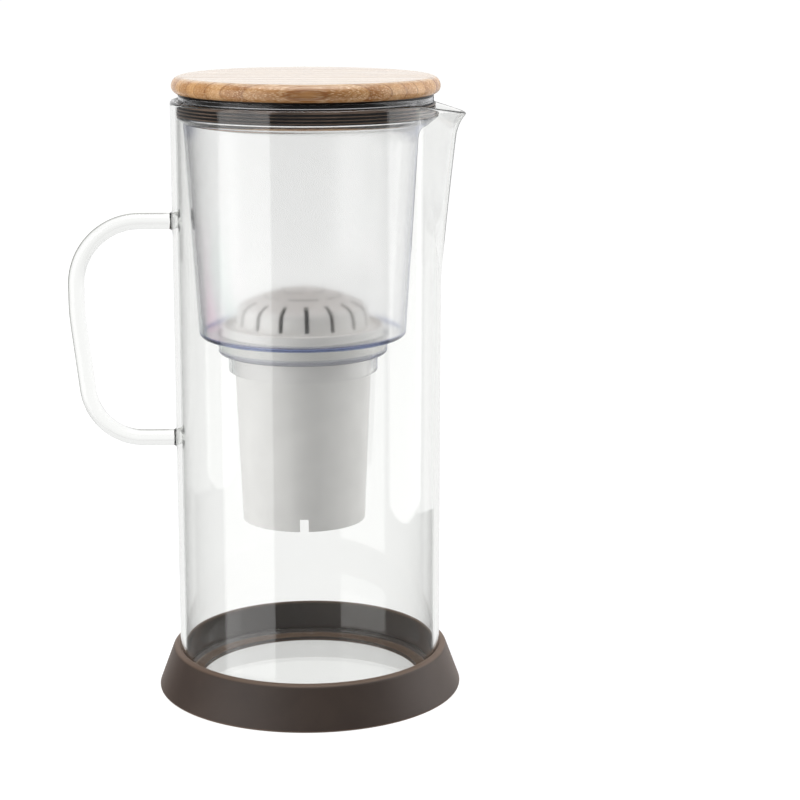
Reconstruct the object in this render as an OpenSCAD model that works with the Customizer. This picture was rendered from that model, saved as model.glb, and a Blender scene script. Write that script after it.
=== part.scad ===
// Gravity water filter jug.
// A glass jug with a pulled spout and a fused rod handle stands in a soft silicone
// base. A clear tapered reservoir sits in its mouth on a ribbed gasket and holds a
// push-in filter cartridge. A bamboo lid with a silicone seal closes the reservoir.
// Frame: origin on the jug's axis at the underside of the base, +Z up, spout towards
// +X, handle towards -X. All sizes are in millimetres.

/* [Glass jug] */
// Outside diameter of the glass
glass_od = 125; // [120:1:160]
// Thickness of the glass wall
glass_wall = 2.5; // [1.8:0.1:3.2]
// Thickness of the glass floor
glass_floor = 3.5; // [2.5:0.1:6]
// Height of the glass from its underside to its rim
jug_h = 279; // [230:1:340]
// Outer radius of the heel between wall and floor
heel_r = 5; // [4:0.5:8]

/* [Spout] */
// How far the tip stands out past the wall
spout_reach = 11.2; // [8:0.1:16]
// Share of that reach made by the turned-out lip
lip_flare = 3.3; // [1:0.1:5]
// Height of the pulled stretch of wall below the rim
spout_h = 87; // [60:1:120]
// How far the rim dips at the tip
spout_dip = 5.5; // [2:0.5:9]
// Half angle over which the tip is rounded
tip_angle = 5; // [3:0.5:9]

/* [Handle] */
// Diameter of the glass rod
rod_d = 7.6; // [6:0.2:12]
// Distance from the wall to the rod's centre line at its furthest
handle_reach = 45.2; // [38:0.2:60]
// Height between the two places where the rod meets the wall
handle_span = 103; // [90:1:130]
// Depth of the upper place below the rim
handle_drop = 56; // [40:1:80]
// Centre line radius of the upper bend
upper_bend_r = 30; // [20:1:34]
// Centre line radius of the lower bend
lower_bend_r = 26; // [18:1:30]
// Lean of the lower half of the grip from the vertical
handle_lean = 6.5; // [3:0.5:9]
// Radius of the glass fillet round each fused end
fuse_r = 1.5; // [0.5:0.1:2.5]
// Rise of the low button that each fused end raises inside the wall
button_rise = 1.4; // [0.6:0.1:2.4]

/* [Silicone base] */
// Height of the base
base_h = 20.5; // [14:0.5:30]
// Width of the base outside the glass at its foot
foot_w = 10; // [6:0.5:16]
// Width of the base outside the glass at its top
brim_w = 3.4; // [2.4:0.1:5]
// Width of the ledge that the glass stands on
ledge_w = 9.5; // [7:0.5:20]
// Thickness of the ledge
ledge_t = 2; // [1.5:0.1:4]

/* [Reservoir] */
// Thickness of its moulded wall
tank_wall = 1.8; // [1.4:0.1:2.4]
// Depth from the jug's rim to the underside of its floor
tank_depth = 109.5; // [90:0.5:125]
// How far its axis is moved towards the handle to leave a way to the spout
tank_shift = 2.3; // [1:0.1:3]
// Draft of the tapered wall
tank_draft = 3.45; // [1:0.05:4]
// Width of the sloping shoulder below the lip, averaged round the wall
shoulder_w = 5.45; // [5:0.05:8]
// Radius of the hollow curve under the shoulder
shoulder_r = 9; // [5:0.5:12]
// Height of the clear band that stands above the gasket
band_h = 3.1; // [2.4:0.1:6]
// How far the reservoir's top stands above the jug's rim
band_rise = 2.3; // [1:0.1:4]
// Height of the cup below the floor that takes the cartridge's seal
cup_h = 8; // [7:0.5:12]
// Height of the guide ring below that cup
guide_h = 8.8; // [5:0.2:14]

/* [Reservoir gasket] */
// Height of the gasket
gasket_h = 5.9; // [4.4:0.1:9]
// Number of sealing ribs on it
gasket_ribs = 4; // [3:1:6]

/* [Lid] */
// How far the lid's edge stands back from the outside of the glass
lid_inset = 0.7; // [0:0.1:3]
// Radius of the upper quarter of the bullnose edge
lid_top_round = 4.6; // [3:0.1:6]
// Radius of the lower quarter of the bullnose edge
lid_under_round = 3.4; // [2:0.1:5]
// Height of the turned spigot under the lid
spigot_h = 8.2; // [7:0.1:10]
// Thickness of the seal's flange between lid and reservoir
seal_flange_t = 0.8; // [0.6:0.1:1.5]

/* [Cartridge] */
// Diameter of the cap's collar
collar_d = 76; // [68:0.5:92]
// Height of the cap's collar
collar_h = 6.5; // [5:0.1:8]
// Diameter of the cup just under the collar
body_top_d = 65.2; // [52:0.2:68]
// Draft of the cup's tapered wall
body_draft = 2.36; // [0.5:0.02:4]
// Height of the cup up to the collar
body_h = 87.5; // [70:0.5:100]
// Wall of the cup and the cap
shell_t = 1.6; // [1.2:0.1:2.2]
// Height of the dome above the collar
dome_h = 16.4; // [13:0.1:20]
// Number of inlet slots round the dome
slot_count = 16; // [12:1:18]
// Width of an inlet slot
slot_w = 2.1; // [1.4:0.1:2.4]
// How far the cap is turned on the cup
cap_turn = 3.6; // [0:0.1:22.5]
// Height of the skirt under the cup's floor
skirt_h = 7; // [5:0.5:10]
// Width of each notch in the skirt
notch_w = 4; // [3:0.2:7]

/* [Fits] */
// Gap between two pieces that are pushed together for good
snug_gap = 0.05; // [0.02:0.01:0.1]
// Gap between a soft rib and the wall that it seals against
rib_gap = 0.35; // [0.3:0.05:0.6]
// Gap round a hard piece that lifts out
lift_gap = 0.5; // [0.4:0.1:1]

/* [Hidden] */
$fn = 96;

// glass jug
glass_r = glass_od / 2;
bore_r = glass_r - glass_wall;
jug_z = ledge_t;
rim_z = jug_z + jug_h;
edge_r = glass_wall / 2;
inner_heel_r = max(1, heel_r - glass_wall);
spout_z = rim_z - spout_h;
body_reach = spout_reach - lip_flare;
body_power = 1.2;
flare_start = 0.86;
flare_power = 2.5;
jug_sides = 84;
side_crowding = 0.5;
pulled_levels = [0, 0.1, 0.22, 0.35, 0.48, 0.6, 0.72, 0.82, 0.88, 0.92, 0.95, 0.975, 1];
heel_turns = [-90, -60, -30, 0];
edge_turns = [45, 90, 135];

// handle
rod_r = rod_d / 2;
rod_sides = 20;
button_gap = 0.15;
grip_x = -glass_r - handle_reach;
handle_top_z = rim_z - handle_drop;
handle_low_z = handle_top_z - handle_span;
ease_r = 100;
upper_x = grip_x + upper_bend_r;
upper_z = handle_top_z - upper_bend_r;
lower_z = handle_low_z + lower_bend_r;
lower_x = upper_x;
lean_start_x = lower_x - lower_bend_r * cos(handle_lean);
lean_start_z = lower_z - lower_bend_r * sin(handle_lean);
lean_run = (lean_start_x - grip_x) / sin(handle_lean);
ease_run = ease_r * tan(handle_lean / 2);
ease_z = lean_start_z + lean_run * cos(handle_lean) + ease_run;

// base
foot_r = glass_r + foot_w;
brim_r = glass_r + brim_w;
foot_round = 1.2;
brim_round = 2;

// reservoir: heights, then radii about the jug's axis, then radii about its own
band_top_z = rim_z + band_rise;
gasket_top_z = band_top_z - band_h;
seat_z = gasket_top_z - gasket_h;
tank_floor_z = rim_z - tank_depth;
cup_z = tank_floor_z - cup_h;
guide_z = cup_z - guide_h;
band_web = 1;
band_gap = 1.3;
band_r = bore_r - band_gap;
lip_r = bore_r - 0.6;
seat_r = band_r - 1.5;
throat_r = seat_r - tank_wall;
lip_edge = 0.6;
shoulder_turn = 130;
skirt_inset = 0.35;
wall_top_r = lip_r - shoulder_w;
hollow_r = wall_top_r - tank_shift - skirt_inset + shoulder_r;
slope_w = lip_r - hollow_r - shoulder_r * cos(shoulder_turn);
flare_z = seat_z - lip_edge - slope_w * tan(shoulder_turn - 90) - shoulder_r * sin(shoulder_turn);
wall_foot_r = wall_top_r - (flare_z - tank_floor_z) * tan(tank_draft);
floor_round = 2.4;
floor_top_z = tank_floor_z + tank_wall;
cup_wall = 1.2;
cup_bore_r = collar_d / 2 + lift_gap;
cup_r = cup_bore_r + cup_wall;
guide_bore_r = body_top_d / 2 + lift_gap;
guide_r = guide_bore_r + tank_wall + 0.2;

// gasket
gasket_in_r = seat_r + snug_gap;
gasket_web = 1.1;
rib_pitch = gasket_h / gasket_ribs;
rib_r = rib_pitch * 0.42;
rib_tip_r = bore_r - rib_gap;

// lid
lid_r = glass_r - lid_inset;
lid_t = lid_top_round + lid_under_round;
lid_z = band_top_z + seal_flange_t;
seal_wall = 2.1;
seal_rib_r = throat_r - rib_gap;
spigot_r = throat_r - 5.7;
bead_depth = 0.8;
bead_h = 1.6;
bead_drop = 3.4;
seal_rib_t = 0.8;
seal_rib_drops = [4.4, 6.8];

// cartridge
seal_h = 5.2;
collar_z = cup_z + tank_wall + seal_h;
cartridge_z = collar_z - body_h;
collar_r = collar_d / 2;
body_top_r = body_top_d / 2;
body_taper = tan(body_draft);
body_foot_r = body_top_r - body_h * body_taper;
socket_depth = 4.5;
rim_w = 1.5;
rim_h = 1.2;
dome_foot_r = body_top_r - 1.4;
dome_draft = 7;
crown_r = 60;
dome_round = 6;
dome_top = collar_h + dome_h;
arc_slot_w = 1.1;
outer_arc_r = 17.9;
outer_arcs = 6;
inner_arc_r = 9.7;
inner_arcs = 4;
floor_slots = 12;
screen_t = 1;
media_gap = 0.1;
bed_split = 0.52;

// ---- shared shapes ----

// Points along an arc in the plane, from angle a to angle b.
function arc(centre, r, a, b, steps = 8) =
    [for (i = [0:steps]) centre + r * [cos(a + (b - a) * i / steps), sin(a + (b - a) * i / steps)]];

// A round piece turned from an outline of [radius, height] points.
module turned(outline) {
    rotate_extrude() polygon(outline);
}

// A plain ring with square corners.
module ring(inner_r, outer_r, low_z, high_z) {
    turned([[inner_r, low_z], [outer_r, low_z], [outer_r, high_z], [inner_r, high_z]]);
}

// Children set about the reservoir's own axis.
module about_tank_axis() {
    translate([-tank_shift, 0, 0]) children();
}

// ---- glass jug ----

// Angles round the jug, closer together at the spout.
jug_angles = [for (i = [0:jug_sides - 1])
    let (u = 360 * i / jug_sides - 180) u - side_crowding * sin(u) * 180 / PI];

// Reach of the spout at a level from 0, where it starts, to 1, at the lip.
function reach_at(level) =
    body_reach * pow(level, body_power)
    + lip_flare * pow(max(0, (level - flare_start) / (1 - flare_start)), flare_power);

// Half the angle that the pulled wall takes up, so that its flat sides meet the round
// wall as tangents.
function spout_half_angle(reach) = acos(glass_r / (glass_r + reach)) + tip_angle;

// Distance in angle from the tip, rounded off near it.
function soft_angle(a) = sqrt(a * a + tip_angle * tip_angle);

function side_angle(a, level) = max(0, spout_half_angle(reach_at(level)) - soft_angle(a));

function wall_r(a, level) = glass_r / cos(side_angle(a, level));

function dip_at(a) =
    spout_dip * tan(side_angle(a, 1)) / tan(spout_half_angle(spout_reach) - tip_angle);

function level_z(a, level) = spout_z + level * (rim_z - dip_at(a) - edge_r - spout_z);

// The section of the glass as [level, step in radius, step in height], from the
// underside round the rim and back to the floor.
jug_section = concat(
    [for (t = heel_turns)
        [0, heel_r * (cos(t) - 1), jug_z + heel_r * (1 + sin(t)) - spout_z]],
    [for (level = pulled_levels) [level, 0, 0]],
    [for (t = edge_turns) [1, edge_r * (cos(t) - 1), edge_r * sin(t)]],
    [for (i = [len(pulled_levels) - 1:-1:0]) [pulled_levels[i], -glass_wall, 0]],
    [for (i = [len(heel_turns) - 1:-1:0]) let (t = heel_turns[i])
        [0, inner_heel_r * (cos(t) - 1) - glass_wall,
            jug_z + glass_floor + inner_heel_r * (1 + sin(t)) - spout_z]]
);

module glass_jug() {
    n = jug_sides;
    rings = len(jug_section);
    points = concat(
        [for (s = jug_section) for (a = jug_angles)
            let (r = wall_r(a, s[0]) + s[1]) [r * cos(a), r * sin(a), level_z(a, s[0]) + s[2]]],
        [[0, 0, jug_z], [0, 0, jug_z + glass_floor]]
    );
    under = n * rings;
    skin = [for (j = [0:rings - 2]) for (i = [0:n - 1])
        let (k = (i + 1) % n, low = j * n, high = low + n)
        each [[low + i, high + i, high + k], [low + i, high + k, low + k]]];
    underside = [for (i = [0:n - 1]) [under, i, (i + 1) % n]];
    inside_floor = [for (i = [0:n - 1])
        [under + 1, (rings - 1) * n + (i + 1) % n, (rings - 1) * n + i]];
    color([0.86, 0.92, 0.94, 0.4])
        polyhedron(points = points, faces = concat(skin, underside, inside_floor));
}

// ---- glass handle ----

// The rod's centre line as [x, z, heading, radius]. The heading turns from 180 degrees,
// away from the wall, through 270, straight down, to 360, back towards the wall.
function bend(x, z, r, from_angle, to_angle, steps) =
    [for (i = [0:steps]) let (a = from_angle + (to_angle - from_angle) * i / steps)
        [x + r * cos(a), z + r * sin(a), a + 90, rod_r]];

// The fused end at a height: the rod swells into the wall through a quarter-round fillet.
function fused_end(z, heading) =
    concat(
        [[-glass_r + 2, z, heading, rod_r + fuse_r]],
        [for (t = [0:30:90])
            [-glass_r - 0.4 - fuse_r * (1 - cos(t)), z, heading, rod_r + fuse_r * (1 - sin(t))]]
    );

function reversed(list) = [for (i = [len(list) - 1:-1:0]) list[i]];

rod_line = concat(
    fused_end(handle_top_z, 180),
    bend(upper_x, upper_z, upper_bend_r, 90, 180, 9),
    bend(grip_x + ease_r, ease_z, ease_r, 180, 180 + handle_lean, 2),
    bend(lower_x, lower_z, lower_bend_r, 180 + handle_lean, 270, 9),
    reversed(fused_end(handle_low_z, 360))
);

// The low button that swells from the inside of the wall behind a fused end.
module wall_button(z) {
    spread = rod_r + 2 * fuse_r;
    sphere_r = (spread * spread + button_rise * button_rise) / (2 * button_rise);
    intersection() {
        translate([button_rise - bore_r - sphere_r, 0, z]) sphere(r = sphere_r);
        translate([0, 0, z - spread - rod_r])
            cylinder(r = bore_r - button_gap, h = 2 * (spread + rod_r));
    }
}

module glass_handle() {
    n = rod_sides;
    last = len(rod_line) - 1;
    points = [for (p = rod_line) for (i = [0:n - 1])
        let (t = 360 * i / n, out = p[3] * cos(t))
            [p[0] - out * sin(p[2]), p[3] * sin(t), p[1] + out * cos(p[2])]];
    skin = [for (j = [0:last - 1]) for (i = [0:n - 1])
        let (k = (i + 1) % n, low = j * n, high = low + n)
        each [[low + i, high + k, high + i], [low + i, low + k, high + k]]];
    ends = [[for (i = [n - 1:-1:0]) i], [for (i = [0:n - 1]) last * n + i]];
    color([0.86, 0.92, 0.94, 0.4]) {
        difference() {
            polyhedron(points = points, faces = concat(skin, ends));
            translate([0, 0, handle_low_z - rod_d])
                cylinder(r = glass_r, h = handle_span + 2 * rod_d, $fn = 180);
        }
        for (z = [handle_top_z, handle_low_z])
            wall_button(z);
    }
}

// ---- silicone base ----

module silicone_base() {
    ledge_r = glass_r - ledge_w;
    bed_r = heel_r + snug_gap;
    color([0.36, 0.30, 0.28])
        turned(concat(
            [[ledge_r, 0]],
            arc([foot_r - foot_round, foot_round], foot_round, 270, 360, 5),
            arc([brim_r - brim_round, base_h - brim_round], brim_round, 15, 90, 6),
            [[glass_r + snug_gap, base_h]],
            arc([glass_r - heel_r, jug_z + bed_r], bed_r, 360, 270, 6),
            [[ledge_r, jug_z]]
        ));
}

// ---- reservoir ----

// Outline of the tapered wall about the reservoir's own axis. The inset is 0 for the
// outside and the wall's thickness for the inside.
function tank_outline(inset, foot_z, foot_corner) =
    let (
        draft_step = inset / cos(tank_draft),
        foot_r = wall_foot_r - draft_step + (foot_z - tank_floor_z) * tan(tank_draft),
        top_r = wall_top_r - draft_step + (seat_z - flare_z) * tan(tank_draft)
    )
    concat(
        [[0, foot_z]],
        arc([foot_r - foot_corner, foot_z + foot_corner], foot_corner, 270, 360, 5),
        [[top_r, seat_z], [0, seat_z]]
    );

// Outline of the shoulder that carries the lip, about the jug's axis: a skirt that
// merges into the wall towards the spout, a hollow curve and a slope out to the lip.
// The shoulder is widest towards the spout and dies out towards the handle.
function shoulder_outline(inset, out_r, top_z) =
    let (
        turn = arc([hollow_r, flare_z], shoulder_r + inset, 180, shoulder_turn, 8),
        last = turn[len(turn) - 1]
    )
    concat(
        [[0, flare_z]],
        turn,
        [[out_r, last[1] + (out_r - last[0]) * tan(shoulder_turn - 90)], [out_r, top_z], [0, top_z]]
    );

// What stands below the floor: the cup for the seal and the ring that guides the
// cartridge.
module tank_foot() {
    corner = 1.4;
    turned(concat(
        [[0, guide_z]],
        arc([guide_r - corner, guide_z + corner], corner, 270, 360, 4),
        [[guide_r, cup_z]],
        arc([cup_r - corner, cup_z + corner], corner, 270, 360, 4),
        [[cup_r, floor_top_z], [0, floor_top_z]]
    ));
}

module reservoir() {
    over = 1;
    color([0.80, 0.84, 0.96, 0.35])
        difference() {
            union() {
                about_tank_axis() {
                    turned(tank_outline(0, tank_floor_z, floor_round));
                    tank_foot();
                }
                turned(shoulder_outline(0, lip_r, seat_z));
                translate([0, 0, seat_z - over]) cylinder(r = seat_r, h = gasket_h + 2 * over);
                translate([0, 0, gasket_top_z]) cylinder(r = band_r, h = band_h);
            }
            about_tank_axis() turned(tank_outline(tank_wall, floor_top_z, floor_round - tank_wall));
            turned(shoulder_outline(tank_wall, throat_r, band_top_z + over));
            translate([0, 0, gasket_top_z + band_web])
                cylinder(r = band_r - tank_wall, h = band_h + over);
            about_tank_axis() {
                translate([0, 0, cup_z + tank_wall]) cylinder(r = cup_bore_r, h = cup_h + over);
                translate([0, 0, guide_z - over]) cylinder(r = guide_bore_r, h = guide_h + 2 * tank_wall);
            }
        }
}

// ---- reservoir gasket ----

module reservoir_gasket() {
    color([0.20, 0.15, 0.13])
        rotate_extrude() {
            translate([gasket_in_r, seat_z]) square([gasket_web, gasket_h]);
            for (i = [0:gasket_ribs - 1])
                translate([gasket_in_r + gasket_web / 2, seat_z + rib_pitch * (i + 0.5) - rib_r])
                    square([rib_tip_r - rib_r - gasket_in_r - gasket_web / 2, 2 * rib_r]);
            for (i = [0:gasket_ribs - 1])
                translate([rib_tip_r - rib_r, seat_z + rib_pitch * (i + 0.5)]) circle(r = rib_r);
        }
}

// ---- cartridge ----

// A soft ring with two lips that the cartridge's collar presses on.
module cartridge_seal() {
    low = cup_z + tank_wall;
    inner_r = guide_bore_r + 0.3;
    outer_r = cup_bore_r - snug_gap;
    washer_t = 1.6;
    lip_t = 0.9;
    lip_top = low + seal_h - 0.3;
    color([0.93, 0.93, 0.92])
        about_tank_axis()
            turned([
                [inner_r, low], [outer_r, low], [outer_r, lip_top], [outer_r - lip_t, lip_top],
                [outer_r - 1.5 * lip_t, low + washer_t], [inner_r + 1.5 * lip_t, low + washer_t],
                [inner_r + lip_t, lip_top], [inner_r, lip_top]
            ]);
}

// Outside radius of the cartridge's cup at a height above its foot.
function cup_out_r(h) = body_foot_r + body_taper * h;

module at_cartridge() {
    translate([-tank_shift, 0, cartridge_z]) children();
}

module cartridge_cup() {
    top = body_h + socket_depth - snug_gap;
    floor_top = skirt_h + shell_t;
    neck_r = body_top_r - snug_gap;
    color([0.93, 0.93, 0.93])
        at_cartridge()
            difference() {
                turned([[0, 0], [cup_out_r(0), 0], [cup_out_r(body_h), body_h], [neck_r, body_h],
                    [neck_r, top], [0, top]]);
                turned([[0, -1], [cup_out_r(-1) - shell_t, -1], [cup_out_r(skirt_h) - shell_t, skirt_h],
                    [0, skirt_h]]);
                turned([[0, floor_top], [cup_out_r(floor_top) - shell_t, floor_top],
                    [cup_out_r(body_h) - shell_t, body_h], [neck_r - shell_t, top + 1], [0, top + 1]]);
                for (i = [0:3])
                    rotate([0, 0, 90 * i])
                        translate([0, -notch_w / 2, -1]) cube([body_top_r, notch_w, skirt_h]);
                for (i = [0:floor_slots - 1])
                    rotate([0, 0, 360 / floor_slots * (i + 0.5)])
                        translate([10, -0.6, skirt_h - 1]) cube([14, 1.2, shell_t + 2]);
            }
}

// Outline of the dome above the collar's floor, moved inwards by the inset: a drafted
// side, a rounded shoulder and a shallow crown, each meeting the next as a tangent.
function dome_outline(inset, low) =
    let (
        rise = [-sin(dome_draft), cos(dome_draft)],
        inward = [-cos(dome_draft), -sin(dome_draft)],
        foot = [dome_foot_r, collar_h],
        crown_z = dome_top - crown_r,
        start = foot + dome_round * inward - [0, crown_z],
        half_b = start * rise,
        run = -half_b + sqrt(half_b * half_b - start * start + pow(crown_r - dome_round, 2)),
        centre = foot + dome_round * inward + run * rise,
        meet = atan2(centre[1] - crown_z, centre[0])
    )
    concat(
        [[0, low], [dome_foot_r - inset / cos(dome_draft) + (collar_h - low) * tan(dome_draft), low]],
        arc(centre, dome_round - inset, dome_draft, meet, 8),
        arc([0, crown_z], crown_r - inset, meet, 90, 5)
    );

// A ring of curved slots through the crown.
module arc_slots(r, count, turn_share, first_angle) {
    step = 360 / count;
    for (i = [0:count - 1])
        rotate([0, 0, first_angle + step * (i - turn_share / 2)])
            rotate_extrude(angle = step * turn_share)
                translate([r - arc_slot_w / 2, collar_h]) square([arc_slot_w, dome_h + 1]);
}

module cartridge_cap() {
    slot_low = collar_h + 0.2;
    slot_high = dome_top - 4.9;
    collar_floor = collar_h - rim_h;
    color([0.95, 0.95, 0.95])
        at_cartridge()
            translate([0, 0, body_h]) rotate([0, 0, cap_turn])
                difference() {
                    union() {
                        turned(concat(
                            [[0, 0]],
                            arc([collar_r - 0.8, 0.8], 0.8, 270, 360, 3),
                            arc([collar_r - 0.5, collar_h - 0.5], 0.5, 0, 90, 3),
                            [[collar_r - rim_w, collar_h], [collar_r - rim_w - 0.3, collar_floor],
                                [0, collar_floor]]
                        ));
                        turned(dome_outline(0, collar_floor - 1));
                    }
                    turned(dome_outline(shell_t, socket_depth - 1));
                    translate([0, 0, -1]) cylinder(r = body_top_r, h = socket_depth + 1);
                    for (i = [0:slot_count - 1])
                        rotate([0, 0, 360 / slot_count * i - 90])
                            translate([dome_foot_r - 8, -slot_w / 2, slot_low])
                                cube([12, slot_w, slot_high - slot_low]);
                    arc_slots(outer_arc_r, outer_arcs, 0.75, -93);
                    arc_slots(inner_arc_r, inner_arcs, 0.75, -33);
                    translate([0, 0, dome_top + 1.2]) sphere(r = 2);
                }
}

// Level of the floor of the media space and of its top, above the cartridge's foot.
bed_low = skirt_h + shell_t;
bed_high = body_h + socket_depth - screen_t;
bed_mid = bed_low + (bed_high - bed_low) * bed_split;

// Radius of the media space at a height above the cartridge's foot.
function bed_r(h) = min(cup_out_r(h), body_top_r - snug_gap) - shell_t - media_gap;

// A layer that fills the cup from one height to another.
module layer(low, high) {
    knee = low < body_h && body_h < high ? [[bed_r(body_h), body_h]] : [];
    at_cartridge()
        turned(concat([[0, low], [bed_r(low), low]], knee, [[bed_r(high), high], [0, high]]));
}

module top_screen() {
    color([0.82, 0.83, 0.84]) layer(bed_high, bed_high + screen_t - snug_gap);
}

module carbon_bed() {
    color([0.12, 0.12, 0.12]) layer(bed_mid + screen_t, bed_high);
}

module middle_screen() {
    color([0.82, 0.83, 0.84]) layer(bed_mid, bed_mid + screen_t);
}

module resin_bed() {
    color([0.80, 0.62, 0.30]) layer(bed_low + screen_t, bed_mid);
}

module bottom_screen() {
    color([0.82, 0.83, 0.84]) layer(bed_low, bed_low + screen_t);
}

// ---- lid ----

// One quarter of the bullnose edge, above or below its widest line.
module quarter_round(r, corner_r, side) {
    intersection() {
        translate([corner_r, 0]) circle(r = r);
        translate([corner_r, side < 0 ? -r : 0]) square([r, r]);
    }
}

module bamboo_lid() {
    over = 1;
    groove_top = lid_z - bead_drop;
    color([0.85, 0.71, 0.52])
        union() {
            translate([0, 0, lid_z + lid_under_round])
                rotate_extrude() {
                    translate([0, -lid_under_round]) square([lid_r - lid_top_round, lid_t]);
                    translate([0, -lid_under_round]) square([lid_r - lid_under_round, lid_under_round]);
                    quarter_round(lid_top_round, lid_r - lid_top_round, 1);
                    quarter_round(lid_under_round, lid_r - lid_under_round, -1);
                }
            turned([
                [0, lid_z - spigot_h], [spigot_r - over, lid_z - spigot_h],
                [spigot_r, lid_z - spigot_h + over], [spigot_r, groove_top - bead_h],
                [spigot_r - bead_depth, groove_top - bead_h], [spigot_r - bead_depth, groove_top],
                [spigot_r, groove_top], [spigot_r, lid_z + over], [0, lid_z + over]
            ]);
        }
}

module lid_seal() {
    in_r = spigot_r + snug_gap;
    out_r = spigot_r + seal_wall;
    low = lid_z - spigot_h + 0.6;
    flange_r = band_r + 0.1;
    bead_top = lid_z - bead_drop - snug_gap;
    color([0.18, 0.14, 0.12])
        union() {
            ring(in_r, out_r, low, lid_z);
            ring(in_r, flange_r, lid_z - seal_flange_t, lid_z);
            ring(in_r - bead_depth + 2 * snug_gap, out_r - 0.5, bead_top - bead_h + 2 * snug_gap, bead_top);
            for (drop = seal_rib_drops)
                turned([
                    [in_r + 0.5, lid_z - drop - seal_rib_t], [out_r, lid_z - drop - seal_rib_t],
                    [seal_rib_r, lid_z - drop - 0.1], [seal_rib_r, lid_z - drop + 0.3],
                    [in_r + 0.5, lid_z - drop + 0.3]
                ]);
        }
}

glass_jug();
glass_handle();
silicone_base();
reservoir();
reservoir_gasket();
cartridge_seal();
cartridge_cup();
cartridge_cap();
top_screen();
carbon_bed();
middle_screen();
resin_bed();
bottom_screen();
bamboo_lid();
lid_seal();
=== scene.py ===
# %% [markdown]
# # A glass water filter jug, finished in Blender
#
# The packed CAD model is the fixed frame of this scene: a jug with a pulled spout, the
# reservoir that hangs in its mouth, the filter cartridge, the bamboo lid and the
# silicone base, all at their real size. What it lacks is the look of the materials:
# glass that bends light, a rod that melts into the wall, bamboo fibres, soft silicone.
# This lesson builds those as smooth surfaces around the frame, piece by piece, and
# gives every part its finish.

# %% Load the frame and keep its box
import math

import bpy
import numpy as np
from mathutils import Matrix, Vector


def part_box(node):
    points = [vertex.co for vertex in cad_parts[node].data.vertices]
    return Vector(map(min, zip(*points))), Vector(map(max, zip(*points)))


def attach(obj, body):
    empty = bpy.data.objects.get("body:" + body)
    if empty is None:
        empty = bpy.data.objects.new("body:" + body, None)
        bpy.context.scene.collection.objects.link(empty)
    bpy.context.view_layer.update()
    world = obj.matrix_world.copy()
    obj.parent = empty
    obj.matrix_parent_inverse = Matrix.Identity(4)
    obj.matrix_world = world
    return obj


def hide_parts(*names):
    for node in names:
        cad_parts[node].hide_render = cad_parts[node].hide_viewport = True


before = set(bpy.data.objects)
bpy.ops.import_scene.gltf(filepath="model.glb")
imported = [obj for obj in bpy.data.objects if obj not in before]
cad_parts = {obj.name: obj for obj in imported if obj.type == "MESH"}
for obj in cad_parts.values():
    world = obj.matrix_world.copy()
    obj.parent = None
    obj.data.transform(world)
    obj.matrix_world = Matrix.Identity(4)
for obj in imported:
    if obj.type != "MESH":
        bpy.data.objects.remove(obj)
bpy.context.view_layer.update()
print("pieces in the frame:", ", ".join(sorted(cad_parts)))

# %% [markdown]
# ## The camera
#
# The camera stands a metre in front of the jug and a little above its rim, and looks
# down by about twelve degrees through a long lens. A long lens keeps the sides of a
# tall jug nearly upright, which is why product pictures are taken that way. Its place
# is in metres and its direction is three turns, so that each number means something by
# itself.

# %% Camera
CAMERA_PLACE = (0.0, -1.01919, 0.36386)
CAMERA_PITCH = 12.423
CAMERA_YAW = 2.44
CAMERA_ROLL = 0.096
LENS = 99.08


def add_camera():
    """A camera that starts level and facing +Y, is turned towards +X by the yaw, tipped
    down by the pitch and rolled about its own axis."""
    data = bpy.data.cameras.new("camera")
    data.lens = LENS
    camera = bpy.data.objects.new("camera", data)
    bpy.context.scene.collection.objects.link(camera)
    camera.matrix_world = (
        Matrix.Translation(CAMERA_PLACE)
        @ Matrix.Rotation(math.radians(-CAMERA_YAW), 4, "Z")
        @ Matrix.Rotation(math.radians(90 - CAMERA_PITCH), 4, "X")
        @ Matrix.Rotation(math.radians(CAMERA_ROLL), 4, "Z")
    )
    bpy.context.scene.camera = camera


add_camera()
print("camera:", LENS, "mm lens, looking down", CAMERA_PITCH, "degrees")

# %% [markdown]
# ## Shader maths as Python
#
# A procedural material is mostly arithmetic on coordinates. Wiring every sum by hand
# hides the formula, so a socket is wrapped in a small class that overloads the
# operators, and an expression such as `1 - mask * 0.4` adds its own Math nodes.

# %% A socket that can stand in an expression
def operator(operation, reflected=False):
    """An operator of Wire: a Math node whose two inputs change places when reflected."""

    def method(self, other):
        return self.maths(operation, *((other, self) if reflected else (self, other)))

    return method


class Wire:
    """An output socket of a node, with Python's operators on it."""

    def __init__(self, tree, socket):
        self.tree = tree
        self.socket = socket

    def out(self, name):
        """Another output of the same node."""
        return Wire(self.tree, self.socket.node.outputs[name])

    def maths(self, operation, *values):
        """Adds a Math node of that operation and feeds it the values."""
        node = self.tree.nodes.new("ShaderNodeMath")
        node.operation = operation
        for socket, value in zip(node.inputs, values):
            feed(self.tree, socket, value)
        return Wire(self.tree, node.outputs[0])

    __add__ = __radd__ = operator("ADD")
    __mul__ = __rmul__ = operator("MULTIPLY")
    __sub__ = operator("SUBTRACT")
    __rsub__ = operator("SUBTRACT", reflected=True)
    __pow__ = operator("POWER")

    def floor(self):
        return self.maths("FLOOR", self)

    def fraction(self):
        return self.maths("FRACT", self)

    def size(self):
        """The value without its sign."""
        return self.maths("ABSOLUTE", self)

    def ramp(self, low, high):
        """0 up to low, 1 from high on, and a straight rise between. It falls instead
        where low is above high."""
        rise = (self - low) * (1 / (high - low))
        return self.maths("MINIMUM", self.maths("MAXIMUM", rise, 0.0), 1.0)


def feed(tree, socket, value):
    """Links a Wire to a socket, or writes a plain value into it."""
    if isinstance(value, Wire):
        tree.links.new(value.socket, socket)
    else:
        socket.default_value = value


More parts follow.
